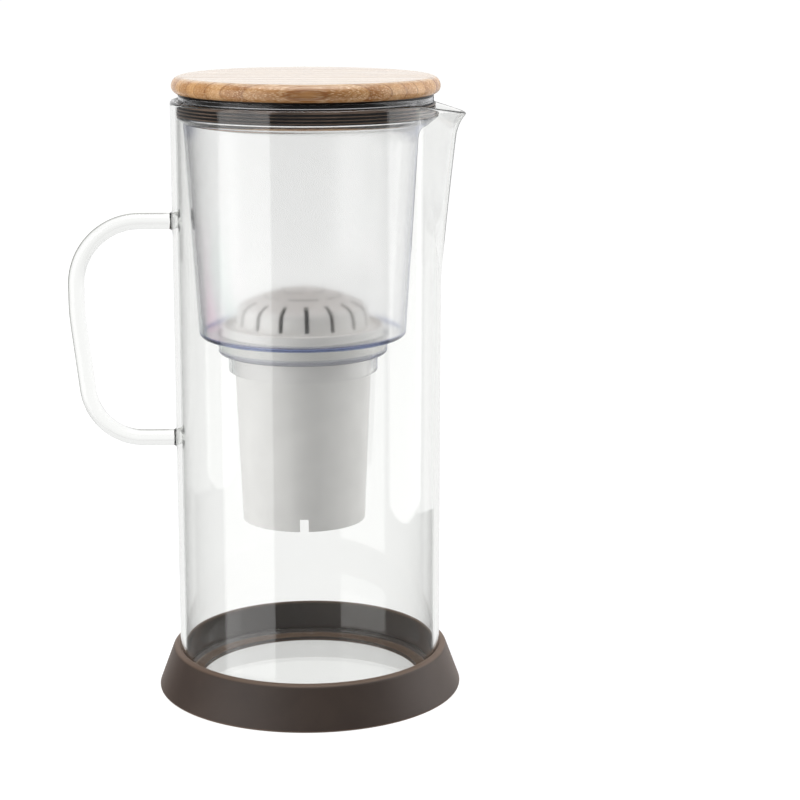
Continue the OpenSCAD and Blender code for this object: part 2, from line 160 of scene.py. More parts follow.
operators = [name.strip("_") for name, kind in vars(Wire).items() if name[:2] == "__" and callable(kind)]
print("a Wire answers to", ", ".join(operators[1:]))

# %% [markdown]
# Every node that isn't a sum comes from one method, `Finish.node`. It takes the node's
# type, then its settings, and last what goes into its sockets. The order matters: a
# setting such as the kind of data that is mixed can change which sockets the node has.

# %% The node-making method
class Finish:
    """A material under construction."""

    def __init__(self, name, world=None):
        self.owner = world or bpy.data.materials.new(name)
        self.owner.use_nodes = True
        self.tree = self.owner.node_tree
        self.tree.nodes.clear()
        kind = "ShaderNodeOutputWorld" if world else "ShaderNodeOutputMaterial"
        self.output = self.tree.nodes.new(kind)

    def node(self, kind, settings=None, sockets=None, out=0):
        """Adds a node. Settings are its own attributes. The sockets are given by name or
        number, as plain values or Wires."""
        made = self.tree.nodes.new("ShaderNode" + kind)
        for name, value in (settings or {}).items():
            setattr(made, name, value)
        for name, value in (sockets or {}).items():
            feed(self.tree, made.inputs[name], value)
        return Wire(self.tree, made.outputs[out])

    def millimetres(self, stretch=(1, 1, 1), shift=(0, 0, 0)):
        """The object's own coordinates in millimetres, stretched and then shifted."""
        place = self.node("TexCoord", out="Object")
        scale = [1000 * share for share in stretch]
        return self.node("Mapping", None, {"Vector": place, "Scale": scale, "Location": shift})

    def split(self, vector):
        """The three numbers of a vector."""
        parts = self.node("SeparateXYZ", None, {0: vector})
        return parts, parts.out("Y"), parts.out("Z")

    def facing(self):
        """The three numbers of the outward normal."""
        return self.split(self.node("NewGeometry", out="Normal"))

    def ray(self, name):
        """What is known of the ray that has come to the surface."""
        return self.node("LightPath", out=name)

    def noise(self, place, scale=1.0, detail=2.0, roughness=0.5):
        """Smooth random values from 0 to 1. The scale is in lumps for each unit."""
        sockets = {"Vector": place, "Scale": scale, "Detail": detail, "Roughness": roughness}
        return self.node("TexNoise", None, sockets)

    def mix(self, share, first, second):
        """The first colour where share is 0 and the second where it is 1. A Mix node has
        sockets for numbers and vectors too, so its colours are the ones numbered 6 and 7."""
        sockets = {0: share, 6: first, 7: second}
        return self.node("Mix", {"data_type": "RGBA"}, sockets, out=2)

    def blend(self, share, first, second):
        """The first shader where share is 0 and the second where it is 1."""
        return self.node("MixShader", None, {0: share, 1: first, 2: second})

    def bump(self, height, step, strength=1.0):
        """A normal bent by a height that goes from 0 to 1 over a step in millimetres."""
        sockets = {"Height": height, "Distance": step * 0.001, "Strength": strength}
        return self.node("Bump", None, sockets)

    def surface(self, shader):
        """Puts a shader on the surface and gives back the material."""
        feed(self.tree, self.output.inputs["Surface"], shader)
        return self.owner

    def principled(self, **sockets):
        """A Principled shader. A socket's name has underscores for its spaces."""
        named = {name.replace("_", " "): value for name, value in sockets.items()}
        return self.node("BsdfPrincipled", None, named)


def srgb(red, green, blue):
    """A colour as it looks on a screen, from 0 to 255, as the linear colour that a
    shader works with."""
    code = np.array([red, green, blue]) / 255
    linear = np.where(code <= 0.04045, code / 12.92, ((code + 0.055) / 1.055) ** 2.4)
    return (*linear.tolist(), 1.0)


def darker(colour, share):
    """The colour with only that share of its light."""
    return tuple(channel * share for channel in colour[:3]) + (1,)


print("mid grey on screen is", round(srgb(128, 128, 128)[0], 3), "for a shader")

# %% [markdown]
# ## Light and backdrop
#
# Clear glass has hardly any colour of its own: what is seen is what it bends and
# mirrors. So the set is lit the way a bottle is lit. The backdrop is white for the
# camera, and for the rays that gloss and glass send on. A tall soft box stands at
# each side and leaves a bright upright band on the jug, and a third hangs overhead for
# the lid. Two fill lamps leave no reflection and only brighten what is matt. Grey cards
# that only reflections meet stand round the set, so that the bands have something to
# stand out from, and a black flag beside the backdrop draws the thin dark line along
# the edge of the spout.

# %% The world
WORLD_LIGHT = 0.14


def seen(finish):
    """1 for a ray that leaves the camera, or that gloss or glass sends on before it has
    met anything matt. 0 for the rays that only carry light."""
    straight = finish.ray("Is Camera Ray")
    sent_on = finish.ray("Is Glossy Ray") + finish.ray("Is Transmission Ray")
    return (straight + sent_on).ramp(0, 1) * finish.ray("Diffuse Depth").ramp(1, 0)


def mirrored(finish):
    """1 for a ray that a surface has mirrored on its way, before it met anything matt."""
    return finish.ray("Glossy Depth").ramp(0, 1) * finish.ray("Diffuse Depth").ramp(1, 0)


def set_world():
    """White where it is seen, and a soft even light elsewhere."""
    world = bpy.data.worlds.new("world")
    bpy.context.scene.world = world
    finish = Finish("world", world)
    strength = seen(finish) * (1 - WORLD_LIGHT) + WORLD_LIGHT
    white = {"Color": (1, 1, 1, 1), "Strength": strength}
    finish.surface(finish.node("Background", None, white))


set_world()
print("world: white where it is seen,", WORLD_LIGHT, "as a light")

# %% The floor
FLOOR_PAINT = 0.30
FLOOR_GLOW = 0.88
FLOOR_FADE = (0.2, 1.2)
FLOOR_R = 30
FLOOR_CORNERS = 96


def add_stage_mesh(name, points, faces, material):
    """A mesh of the set, which is no part of the jug."""
    mesh = bpy.data.meshes.new(name)
    mesh.from_pydata(points, [], faces)
    mesh.materials.append(material)
    made = bpy.data.objects.new(name, mesh)
    bpy.context.scene.collection.objects.link(made)
    return made


def add_floor():
    """A pale disc. Its paint takes the shadow, and a glow lifts it to the white of the
    backdrop, wholly so further out, where the lamps don't reach. Mirrored rays pass it
    and meet the card, so no horizon shows in the glass."""
    finish = Finish("floor")
    paint = finish.node("BsdfDiffuse", None, {"Color": (FLOOR_PAINT,) * 3 + (1,)})
    place = finish.node("TexCoord", out="Object")
    away = finish.node("VectorMath", {"operation": "LENGTH"}, {0: place}, out="Value")
    lift = away.ramp(*FLOOR_FADE) * (1 - FLOOR_GLOW) + FLOOR_GLOW
    strength = seen(finish) * (lift - WORLD_LIGHT) + WORLD_LIGHT
    glow = finish.node("Emission", None, {"Strength": strength})
    lit = finish.node("AddShader", None, {0: paint, 1: glow})
    nothing = finish.node("BsdfTransparent")
    material = finish.surface(finish.blend(mirrored(finish), lit, nothing))
    turns = np.linspace(0, 2 * np.pi, FLOOR_CORNERS, endpoint=False)
    rim = np.stack([FLOOR_R * np.cos(turns), FLOOR_R * np.sin(turns), 0 * turns], -1)
    floor = add_stage_mesh("floor", rim.tolist(), [list(range(FLOOR_CORNERS))], material)
    floor.visible_glossy = False
    floor.visible_shadow = False


add_floor()
print("floor: paint", FLOOR_PAINT, "and a glow of", FLOOR_GLOW)

# %% The soft boxes
AIM_Z = 0.16


def add_soft_box(name, bearing, distance, height, size, power, shows=True):
    """An area lamp that faces the jug. The bearing is its direction round the jug in
    degrees, from the camera's side at 0 towards +X at 90. Lengths are in metres. One
    that doesn't show lights the jug and leaves no reflection."""
    data = bpy.data.lights.new(name, "AREA")
    data.shape = "RECTANGLE"
    data.size, data.size_y = size
    data.energy = power
    lamp = bpy.data.objects.new(name, data)
    bpy.context.scene.collection.objects.link(lamp)
    turn = math.radians(bearing)
    place = (distance * math.sin(turn), -distance * math.cos(turn), height)
    tilt = math.atan2(height - AIM_Z, distance)
    lamp.matrix_world = (
        Matrix.Translation(place)
        @ Matrix.Rotation(turn, 4, "Z")
        @ Matrix.Rotation(math.pi / 2 - tilt, 4, "X")
    )
    lamp.visible_glossy = shows
    lamp.visible_transmission = shows


# Bearing, distance, height, width and height of the lamp, and power in watts.
add_soft_box("soft_box_left", -54, 1.3, 0.15, (1.15, 2.1), 11.5)
add_soft_box("soft_box_right", 93, 1.3, 0.55, (1.10, 1.85), 10.0)
add_soft_box("soft_box_top", 0, 0.08, 1.3, (1.0, 0.8), 8.5)
add_soft_box("fill_left", -80, 1.2, 0.30, (0.5, 0.9), 6.5, shows=False)
add_soft_box("fill_right", 92, 1.2, 0.30, (0.5, 0.9), 6.0, shows=False)
print("three soft boxes, and two fills that leave no reflection")

# %% The cards round the set
CARD_R = 1.9
CARD_FOOT = -1.5
CARD_STEP = 3


def add_card(name, first, last, top, grey, foot=CARD_FOOT):
    """A round wall of card between two bearings. Only light that the jug has mirrored
    meets it. A ray that goes straight through the glass passes the card as well, so
    the backdrop behind the jug stays white."""
    finish = Finish(name)
    tone = finish.node("Emission", None, {"Strength": grey})
    nothing = finish.node("BsdfTransparent")
    material = finish.surface(finish.blend(mirrored(finish), nothing, tone))
    steps = max(2, round((last - first) / CARD_STEP))
    turns = np.radians(np.linspace(first, last, steps + 1))
    low = np.stack([CARD_R * np.sin(turns), -CARD_R * np.cos(turns), 0 * turns + foot], -1)
    high = low + (0, 0, top - foot)
    start = np.arange(steps)
    above = start + steps + 1
    faces = np.stack([start, start + 1, above + 1, above], -1)
    points = np.concatenate([low, high])
    card = add_stage_mesh(name, points.tolist(), faces.tolist(), material)
    card.visible_camera = False
    card.visible_diffuse = False
    card.visible_shadow = False


# First and last bearing, height of the top, and grey.
add_card("card", -142, 108, 2.2, 0.20)
add_card("low_card", 108, 140, -0.42, 0.20)
add_card("flag", 162, 177, 0.28, 0.02, foot=-0.09)
print("cards: grey round the front and the sides, and a black flag beside the backdrop")

# %% Paths of light
GLASS_BOUNCES = 28
GLOSSY_BOUNCES = 8
MATT_BOUNCES = 4


def let_light_through_glass():
    """Lets a ray cross every wall of the jug and the reservoir twice, and still go on."""
    cycles = bpy.context.scene.cycles
    cycles.max_bounces = GLASS_BOUNCES
    cycles.transmission_bounces = GLASS_BOUNCES
    cycles.transparent_max_bounces = GLASS_BOUNCES
    cycles.glossy_bounces = GLOSSY_BOUNCES
    cycles.diffuse_bounces = MATT_BOUNCES


let_light_through_glass()
bpy.context.scene.view_settings.view_transform = "Standard"
print("a ray may cross", GLASS_BOUNCES, "surfaces")

# %% [markdown]
# ## Surfaces as arrays
#
# Nearly every piece of this jug is turned, so its surface is a grid: one direction
# runs along an outline of radius and height, the other round the axis. The whole grid
# is worked out at once as a numpy array. Sharp corners are what gives a stand-in
# away, and they also spoil glass, so an outline is given as corners with a radius
# each, and `rounded` turns every one of them into an arc.

# %% Outlines with rounded corners
SAME_PLACE = 1e-4  # rows nearer than this are one


def unit(vectors):
    """The vectors at length 1. One of no length stays as it is."""
    length = np.linalg.norm(vectors, axis=-1, keepdims=True)
    return vectors / np.maximum(length, 1e-12)


def rounded(corners, columns=1, closed=True, steps=6):
    """The outline through the corners as an array of rows, columns and (r, z). Each
    corner is (r, z, radius), and each of the three may hold one value a column. With h
    as half the corner's angle, its arc begins and ends radius / tan h from the corner,
    and the centre lies radius / sin h from it on the bisector. A row in the same place
    as the one before is left out."""
    places = np.array([[np.broadcast_to(v, columns) for v in c[:2]] for c in corners], float)
    places = places.transpose(0, 2, 1)
    share = np.linspace(0, 1, steps + 1)[:, None, None]
    rows = []
    for k, corner in enumerate(corners):
        here = places[k]
        radius = np.broadcast_to(corner[2], columns)[:, None]
        if radius.max() == 0:
            rows.append(here[None])
            continue
        back = unit(places[k - 1] - here)
        onward = unit(places[(k + 1) % len(corners)] - here)
        half = np.arccos((back * onward).sum(-1, keepdims=True)) / 2
        centre = here + unit(back + onward) * radius / np.sin(half)
        start = here + back * radius / np.tan(half) - centre
        end = here + onward * radius / np.tan(half) - centre
        sweep = np.pi - 2 * half
        arc = np.sin((1 - share) * sweep) * start + np.sin(share * sweep) * end
        rows.append(centre + arc / np.sin(sweep))
    outline = np.concatenate(rows)
    step = np.abs(outline - np.roll(outline, 1, axis=0)).max((1, 2))
    step[0] = step[0] if closed else 1.0
    return outline[step > SAME_PLACE]


square = [(1, 0, 0.2), (2, 0, 0.2), (2, 1, 0.2), (1, 1, 0.2)]
print("a rounded square has", len(rounded(square)), "rows")

# %% [markdown]
# A grid becomes a mesh through a `Skin`, which collects points, outward normals and
# faces. The normals come from the grid itself: the cross product of the step round
# the axis and the step along the outline. Long and short steps are used as they are,
# so that where a straight wall runs into a small arc, the wall's direction wins and no
# shading bleeds across it. That matters most in glass, which shows every wrong
# normal as a bend.

# %% A skin that grows grid by grid
class Skin:
    """The points, normals and faces of one closed mesh. Rows run up on the outside, so
    that the faces look outwards."""

    def __init__(self):
        self.points = []
        self.normals = []
        self.faces = []
        self.count = 0

    def add(self, points, normals):
        """Adds points of any grid shape and returns their numbers in the same shape."""
        shape = points.shape[:-1]
        number = self.count + np.arange(int(np.prod(shape))).reshape(shape)
        self.points.append(points.reshape(-1, 3))
        self.normals.append(normals.reshape(-1, 3))
        self.count += number.size
        return number

    def quads(self, low, high, keep=None):
        """Faces between rows of numbers and the rows above them, round the axis. Keep
        says which of them are made."""
        corners = [low, np.roll(low, -1, -1), np.roll(high, -1, -1), high]
        faces = np.stack(corners, -1)
        self.faces += (faces[keep] if keep is not None else faces.reshape(-1, 4)).tolist()

    def pole(self, height, row, up):
        """Closes a row with a fan round the point in its middle at that height."""
        centre = np.array([*self.at(row).mean(0)[:2], height])
        tip = self.add(centre[None], np.array([[0, 0, 1.0 if up else -1.0]]))
        near, far = (row, np.roll(row, -1)) if up else (np.roll(row, -1), row)
        self.faces += np.stack([near, far, np.full(len(row), tip[0])], -1).tolist()

    def at(self, numbers):
        """The places of points by their numbers."""
        return np.concatenate(self.points)[numbers]


def slopes(grid, closed=False):
    """Outward normals of a grid: the step round crossed with the step along. In a closed
    grid the last row leads on to the first."""
    around = np.roll(grid, -1, 1) - np.roll(grid, 1, 1)
    ends = (grid[-1:], grid[:1]) if closed else (grid[:1], grid[-1:])
    padded = np.concatenate([ends[0], grid, ends[1]])
    return unit(np.cross(around, padded[2:] - padded[:-2]))


# %% Turned surfaces
ROUND_COLUMNS = 192


def turn_angles(columns):
    """Evenly spaced angles round the axis."""
    return np.linspace(0, 2 * np.pi, columns, endpoint=False)


def turned(outline, turns, axis_x=0.0):
    """The grid of an outline turned about an upright axis: (r, z) at the angle t lies at
    (axis + r cos t, r sin t, z)."""
    r, z = outline[..., 0], outline[..., 1]
    return np.stack([axis_x + r * np.cos(turns), r * np.sin(turns), z + 0 * turns], -1)


def turned_skin(outline, columns=ROUND_COLUMNS, closed=True, axis_x=0.0):
    """The skin of a turned piece. An open outline is closed at both ends by a pole."""
    grid = turned(outline, turn_angles(columns), axis_x)
    skin = Skin()
    number = skin.add(grid, slopes(grid, closed))
    if closed:
        skin.quads(number, np.roll(number, -1, 0))
        return skin
    skin.quads(number[:-1], number[1:])
    skin.pole(outline[0, 0, 1], number[0], up=False)
    skin.pole(outline[-1, 0, 1], number[-1], up=True)
    return skin


ring = turned(rounded(square), turn_angles(12))
print("the square, turned into a ring, is a grid of", ring.shape[:2])

# %% Pieces of the jug
MM = 0.001


def add_piece(name, skin, material, body, replaced):
    """Makes a skin into a piece of the jug, which rides on a body and stands for the CAD
    nodes named."""
    mesh = bpy.data.meshes.new(name)
    mesh.from_pydata((np.concatenate(skin.points) * MM).tolist(), [], skin.faces)
    mesh.polygons.foreach_set("use_smooth", np.ones(len(mesh.polygons), bool))
    mesh.normals_split_custom_set_from_vertices(np.concatenate(skin.normals).tolist())
    mesh.materials.append(material)
    piece = bpy.data.objects.new(name, mesh)
    bpy.context.scene.collection.objects.link(piece)
    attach(piece, body)
    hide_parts(*replaced)
    print(name + ":", skin.count, "points,", len(mesh.polygons), "faces")


# %% [markdown]
# ## Sizes from the frame
#
# Each new surface takes its outer size from the box of the CAD node that it stands for,
# so that it lands exactly where that node was. What a box can't tell, such as the
# thickness of a wall, is written down with the piece. All lengths from here on are in
# millimetres.

# %% Sizes of the glass
def box_mm(node):
    """A node's lowest and highest corners in millimetres."""
    return [[round(v * 1000, 2) for v in corner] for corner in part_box(node)]


jug_low, jug_high = box_mm("glass_jug")
GLASS_R = -jug_low[0]
JUG_Z = jug_low[2]
TIP_X = jug_high[0]
RIM_Z = jug_high[2]
WALL = 2.5
BORE_R = GLASS_R - WALL
print("glass: radius", GLASS_R, "rim at", RIM_Z, "tip at", TIP_X)

# %% [markdown]
# ## The glass
#
# The jug is a plain cylinder whose mouth was pulled out to a spout while it was soft:
# two flat flanks leave the round wall as tangents and meet in a narrow tip, and the rim
# dips towards it. It could be sculpted, but glass shows every dent. So the wall is a
# function of the angle round the jug and of a level, 0 where the pull starts and 1 at
# the rim.

# %% The pulled spout
SPOUT_H = 87
SPOUT_Z = RIM_Z - SPOUT_H
SPOUT_REACH = TIP_X - GLASS_R
SPOUT_DIP = 5.5  # of the rim at the tip
TIP_ANGLE = np.radians(5)  # over which the fold at the tip is rounded
BODY_POWER = 1.2  # of the slow pull
LIP_FLARE = 3.3  # the part of the reach that the flare adds
FLARE_START = 0.86  # as a level
FLARE_POWER = 2.5
EDGE_R = WALL / 2


def reach_at(level):
    """How far the tip stands out at a level of 0 to 1: a slow pull over the whole height
    and a quick flare at the lip."""
    flare = np.maximum(0, (level - FLARE_START) / (1 - FLARE_START)) ** FLARE_POWER
    return (SPOUT_REACH - LIP_FLARE) * level**BODY_POWER + LIP_FLARE * flare


def side_angle(turn, level):
    """How far the pulled wall has turned from the round one: 0 outside the spout. The
    flat side that leaves the circle as a tangent lies at R / cos of this angle, and the
    distance from the tip is rounded off near it by a root of squares."""
    half = np.arccos(GLASS_R / (GLASS_R + reach_at(level))) + TIP_ANGLE
    return np.maximum(0, half - np.sqrt(turn**2 + TIP_ANGLE**2))


def wall_at(turn, level):
    """Outer radius and height of the glass at an angle and a level. The rim dips by the
    tangent of the side angle, which makes it a straight line down to the tip."""
    dip = SPOUT_DIP * np.tan(side_angle(turn, 1.0)) / np.tan(side_angle(0.0, 1.0))
    height = SPOUT_Z + level * (RIM_Z - dip - EDGE_R - SPOUT_Z)
    return GLASS_R / np.cos(side_angle(turn, level)), height


print("spout: starts at", SPOUT_Z, "and reaches", round(SPOUT_REACH, 2), "past the wall")

# %% [markdown]
# The handle is a bent rod, and its ends are melted into the wall. A boolean would leave
# a hard seam there, and a second wall inside the glass. Instead a square of cells is
# left out of the wall's grid at each joint, and rings of points lead from the edge of
# that hole to the round rod. The inside of the wall keeps a low button behind it.

# %% The handle's joints
ROD_R = 3.8
FUSE_R = 1.5
JOINT_Z = (122.0, 225.0)
JOINT_HALF = 7.5  # half the height of the hole in the grid
JOINT_CELLS = 11  # half its width in cells
JOINT_ROWS = 2 * JOINT_CELLS
BUTTON_RISE = 1.4
BUTTON_SPREAD = 7.2
COLUMNS = 288


def glass_turns():
    """Angles round the jug, twice as dense at the spout and at the handle: the even
    angle less a quarter of the sine of its double."""
    even = turn_angles(COLUMNS)
    turn = even - 0.25 * np.sin(2 * even)
    return np.where(turn > np.pi, turn - 2 * np.pi, turn)


def button(turn, height):
    """How far the inside of the wall stands in behind each joint of the handle: a low
    cosine hump over the distance from the joint."""
    side = BORE_R * (np.pi - np.abs(turn))
    hump = 0
    for joint in JOINT_Z:
        far = np.hypot(side, height - joint) / BUTTON_SPREAD
        hump = hump + BUTTON_RISE * (0.5 + 0.5 * np.cos(np.pi * np.minimum(far, 1)))
    return hump


print("handle: joints at", JOINT_Z, "on a wall of", COLUMNS, "columns")

# %% The section of the glass
HEEL_R = 5
INNER_HEEL_R = 2.5
FLOOR_T = 3.5
FLOOR_RINGS = np.array([[8.0], [30.0]])  # radii on the flat of the floor
ROWS_BELOW = (8, 5)  # below a joint, on the plain wall and on the pulled one


def between(low, high, steps):
    """Even steps from low up to high, without high."""
    return np.linspace(low, high, steps, endpoint=False)


def glass_rows():
    """Heights of the rows on the plain wall and levels of the rows on the pulled part,
    both dense across the handle's joints."""
    low, high = JOINT_Z
    plain = np.concatenate([
        between(JUG_Z + HEEL_R, low - JOINT_HALF, ROWS_BELOW[0]),
        between(low - JOINT_HALF, low + JOINT_HALF, JOINT_ROWS),
        between(low + JOINT_HALF, SPOUT_Z, 6),
    ])
    full = RIM_Z - EDGE_R - SPOUT_Z
    first, last = [(high + side * JOINT_HALF - SPOUT_Z) / full for side in (-1, 1)]
    pulled = np.concatenate([
        between(0, first, ROWS_BELOW[1]),
        between(first, last, JOINT_ROWS),
        between(last, FLARE_START, 12),
        np.linspace(FLARE_START, 1, 12),
    ])
    return plain, pulled


def glass_grid():
    """The grid of the glass from the underside round the rim to the inner floor, and the
    rows where the two joints start. Heels and rim are arcs of a radius e, where r falls
    short by e (1 - cos a) and z changes by e sin a. The inside of the wall lies a wall
    and the button within the outside."""
    turn = glass_turns()
    flat = 0 * turn
    plain, pulled = glass_rows()
    quarter = np.linspace(-np.pi / 2, 0, 9)[:-1, None]
    half_turn = np.linspace(0, np.pi, 11)[1:-1, None]
    wall_r, wall_z = wall_at(turn, pulled[:, None])
    outer_r = np.concatenate([GLASS_R + flat + 0 * plain[:, None], wall_r])
    outer_z = np.concatenate([plain[:, None] + flat, wall_z])
    floor_z = JUG_Z + FLOOR_T
    radius = np.concatenate([
        FLOOR_RINGS + flat,
        GLASS_R - HEEL_R * (1 - np.cos(quarter)) + flat,
        outer_r,
        wall_r[-1] - EDGE_R * (1 - np.cos(half_turn)),
        (outer_r - WALL - button(turn, outer_z))[::-1],
        BORE_R - INNER_HEEL_R * (1 - np.cos(quarter[::-1])) + flat,
        FLOOR_RINGS[::-1] + flat,
    ])
    height = np.concatenate([
        JUG_Z + 0 * FLOOR_RINGS + flat,
        JUG_Z + HEEL_R * (1 + np.sin(quarter)) + flat,
        outer_z,
        wall_z[-1] + EDGE_R * np.sin(half_turn),
        outer_z[::-1],
        floor_z + INNER_HEEL_R * (1 + np.sin(quarter[::-1])) + flat,
        floor_z + 0 * FLOOR_RINGS + flat,
    ])
    start = len(FLOOR_RINGS) + len(quarter)
    joints = (start + ROWS_BELOW[0], start + len(plain) + ROWS_BELOW[1])
    return turned(np.stack([radius, height], -1), turn), joints


print("glass: a grid of", glass_grid()[0].shape[:2])

# %% The handle's path
REACH_X = -107.7  # of the grip's axis
UPPER_BEND_R = 30
LOWER_BEND_R = 26
LEAN = 6.5  # of the grip's lower half, in degrees
EASE_R = 100  # of the bend between its halves


def bend(x, z, radius, first, last, steps):
    """Rings along an arc of the path: x, z and the heading, a quarter turn ahead of the
    angle on the arc."""
    angle = np.radians(np.linspace(first, last, steps))
    along = (x + radius * np.cos(angle), z + radius * np.sin(angle), angle + np.pi / 2)
    return np.stack(along, -1)


def rod_path():
    """Rings of the rod as x, z and heading: away from the wall, round the upper bend,
    down a grip whose lower half leans in, and round the lower bend back to the wall."""
    low, high = JOINT_Z
    bend_x = REACH_X + UPPER_BEND_R
    lower_z = low + LOWER_BEND_R
    lean = math.radians(LEAN)
    start_x = bend_x - LOWER_BEND_R * math.cos(lean)
    start_z = lower_z - LOWER_BEND_R * math.sin(lean)
    run = (start_x - REACH_X) / math.sin(lean)
    ease_z = start_z + run * math.cos(lean) + EASE_R * math.tan(lean / 2)
    stub_x = np.linspace(-GLASS_R - 2 * FUSE_R, bend_x, 4, endpoint=False)
    away = np.stack([stub_x, 0 * stub_x + high, 0 * stub_x + np.pi], -1)
    back = np.stack([stub_x[::-1], 0 * stub_x + low, 0 * stub_x + 2 * np.pi], -1)
    return np.concatenate([
        away,
        bend(bend_x, high - UPPER_BEND_R, UPPER_BEND_R, 90, 180, 24),
        bend(REACH_X + EASE_R, ease_z, EASE_R, 180, 180 + LEAN, 5),
        bend(bend_x, lower_z, LOWER_BEND_R, 180 + LEAN, 270, 24),
        back,
    ])


print("handle: a path of", len(rod_path()), "rings")

# %% From the wall to the rod
SHRINK = np.array([[0.75], [0.45], [0.2]])  # how square the rings on the wall still are
WALL_RINGS = len(SHRINK) + 1


def joint_rings(loop, joint_z, heading):
    """Rings from the square hole in the wall to the rod: the square shrinks to a circle
    on the wall, where x = -sqrt(R^2 - y^2), and a quarter round of FUSE_R lifts off from
    there. Returns the rings from the wall outwards, and the directions from the rod's
    axis to the points of the loop, as side and lift."""
    offset = loop - (0, 0, joint_z)
    far = np.hypot(offset[:, 1], offset[:, 2])
    up = -math.cos(heading)
    side = offset[:, 1] / far
    lift = offset[:, 2] / far * up
    root = ROD_R + FUSE_R
    turn = np.linspace(0, np.pi / 2, 9)[:, None]
    lifted = root - FUSE_R * np.sin(turn) + 0 * far
    radius = np.concatenate([root + (far - root) * SHRINK, lifted])
    stand = np.concatenate([0 * SHRINK, FUSE_R * (1 - np.cos(turn))])
    y = radius * side
    x = -np.sqrt(GLASS_R**2 - y**2) - stand
    z = joint_z + radius * lift * up
    return np.stack([x, y, z], -1), side, lift


def rod_rings(path, side, lift):
    """Rings of the rod: centre + ROD_R (side along Y + lift along (sin h, -cos h))."""
    x, z, heading = (path[:, k, None] for k in range(3))
    along_x = x + ROD_R * lift * np.sin(heading)
    along_z = z - ROD_R * lift * np.cos(heading)
    return np.stack([along_x, ROD_R * side + 0 * x, along_z], -1)


print("each joint:", WALL_RINGS, "rings on the wall, and then a fillet of", FUSE_R)

# %% The jug and its handle in one skin
def hole_loop(number, row):
    """Numbers round a square hole of cells, anticlockwise seen from outside."""
    behind = COLUMNS // 2
    part = number[row : row + JOINT_ROWS + 1, behind - JOINT_CELLS : behind + JOINT_CELLS + 1]
    return np.concatenate([part[0, :-1], part[:-1, -1], part[-1, :0:-1], part[:0:-1, 0]])


def glass_skin():
    """The jug and its handle as one closed skin: the wall with a hole at each joint, and
    the rod from one hole to the other. Rings that lie on the wall keep its normals."""
    grid, (low_row, high_row) = glass_grid()
    skin = Skin()
    number = skin.add(grid, slopes(grid))
    keep = np.ones((len(grid) - 1, COLUMNS), bool)
    behind = COLUMNS // 2
    for row in (low_row, high_row):
        keep[row : row + JOINT_ROWS, behind - JOINT_CELLS : behind + JOINT_CELLS] = False
    skin.quads(number[:-1], number[1:], keep)
    skin.pole(JUG_Z, number[0], up=False)
    skin.pole(JUG_Z + FLOOR_T, number[-1], up=True)
    top = hole_loop(number, high_row)
    bottom = hole_loop(number[::-1], len(number) - 1 - low_row - JOINT_ROWS)
    upper, side, lift = joint_rings(skin.at(top), JOINT_Z[1], np.pi)
    lower, _, _ = joint_rings(skin.at(bottom), JOINT_Z[0], 2 * np.pi)
    rings = np.concatenate([upper, rod_rings(rod_path(), side, lift), lower[::-1]])
    whole = np.concatenate([skin.at(top)[None], rings, skin.at(bottom)[None]])
    bent = slopes(whole)[1:-1]
    on_wall = [*range(WALL_RINGS), *range(-WALL_RINGS, 0)]
    bent[on_wall] = unit(rings * (1, 1, 0))[on_wall]
    tube = np.concatenate([top[None], skin.add(rings, bent), bottom[None]])
    skin.quads(tube[:-1], tube[1:])
    return skin


glass = glass_skin()
print("glass skin:", glass.count, "points")

# %% [markdown]
# Glass is seen by what it bends, but following every bent path on to the lamps would
# leave the filter dark and grainy behind its two clear walls. So what the camera sees
# is bent, and rays that only carry light go straight through. The edge of clear glass
# looks dark, because it shows what lies beside the backdrop. Where the flag alone
# doesn't draw that line, painted shade does: a dark colour on surfaces seen edge-on.

# %% Light through clear walls
THROUGH_WALL = (0.985, 0.985, 0.985, 1)


def clear(finish, shader):
    """Lets light reach what is behind glass: rays towards a lamp, and rays that carry
    light between matt surfaces, go straight through instead of bending."""
    through = finish.node("BsdfTransparent", None, {"Color": THROUGH_WALL})
    for kind in ("Is Diffuse Ray", "Is Shadow Ray"):
        shader = finish.blend(finish.ray(kind), shader, through)
    return shader


def absorb(finish, colour, density):
    """Fills the piece with a tint that deepens with the way through it."""
    sockets = {"Color": colour, "Density": density}
    volume = finish.node("VolumeAbsorption", None, sockets)
    feed(finish.tree, finish.output.inputs["Volume"], volume)


def edge_on(finish, low, high):
    """0 on a surface that faces the viewer, 1 where it is seen edge-on."""
    return finish.node("LayerWeight", None, {"Blend": 0.5}, out="Facing").ramp(low, high)


print("light that goes straight through keeps", THROUGH_WALL[0], "of itself at each surface")

# %% The glass finish
GLASS_IN_DEPTH = (0.42, 0.45, 0.38, 1)
GLASS_FACE = (0.963, 0.965, 0.961, 1)
GLASS_EDGE_SHADE = (0.08, 0.085, 0.06, 1)


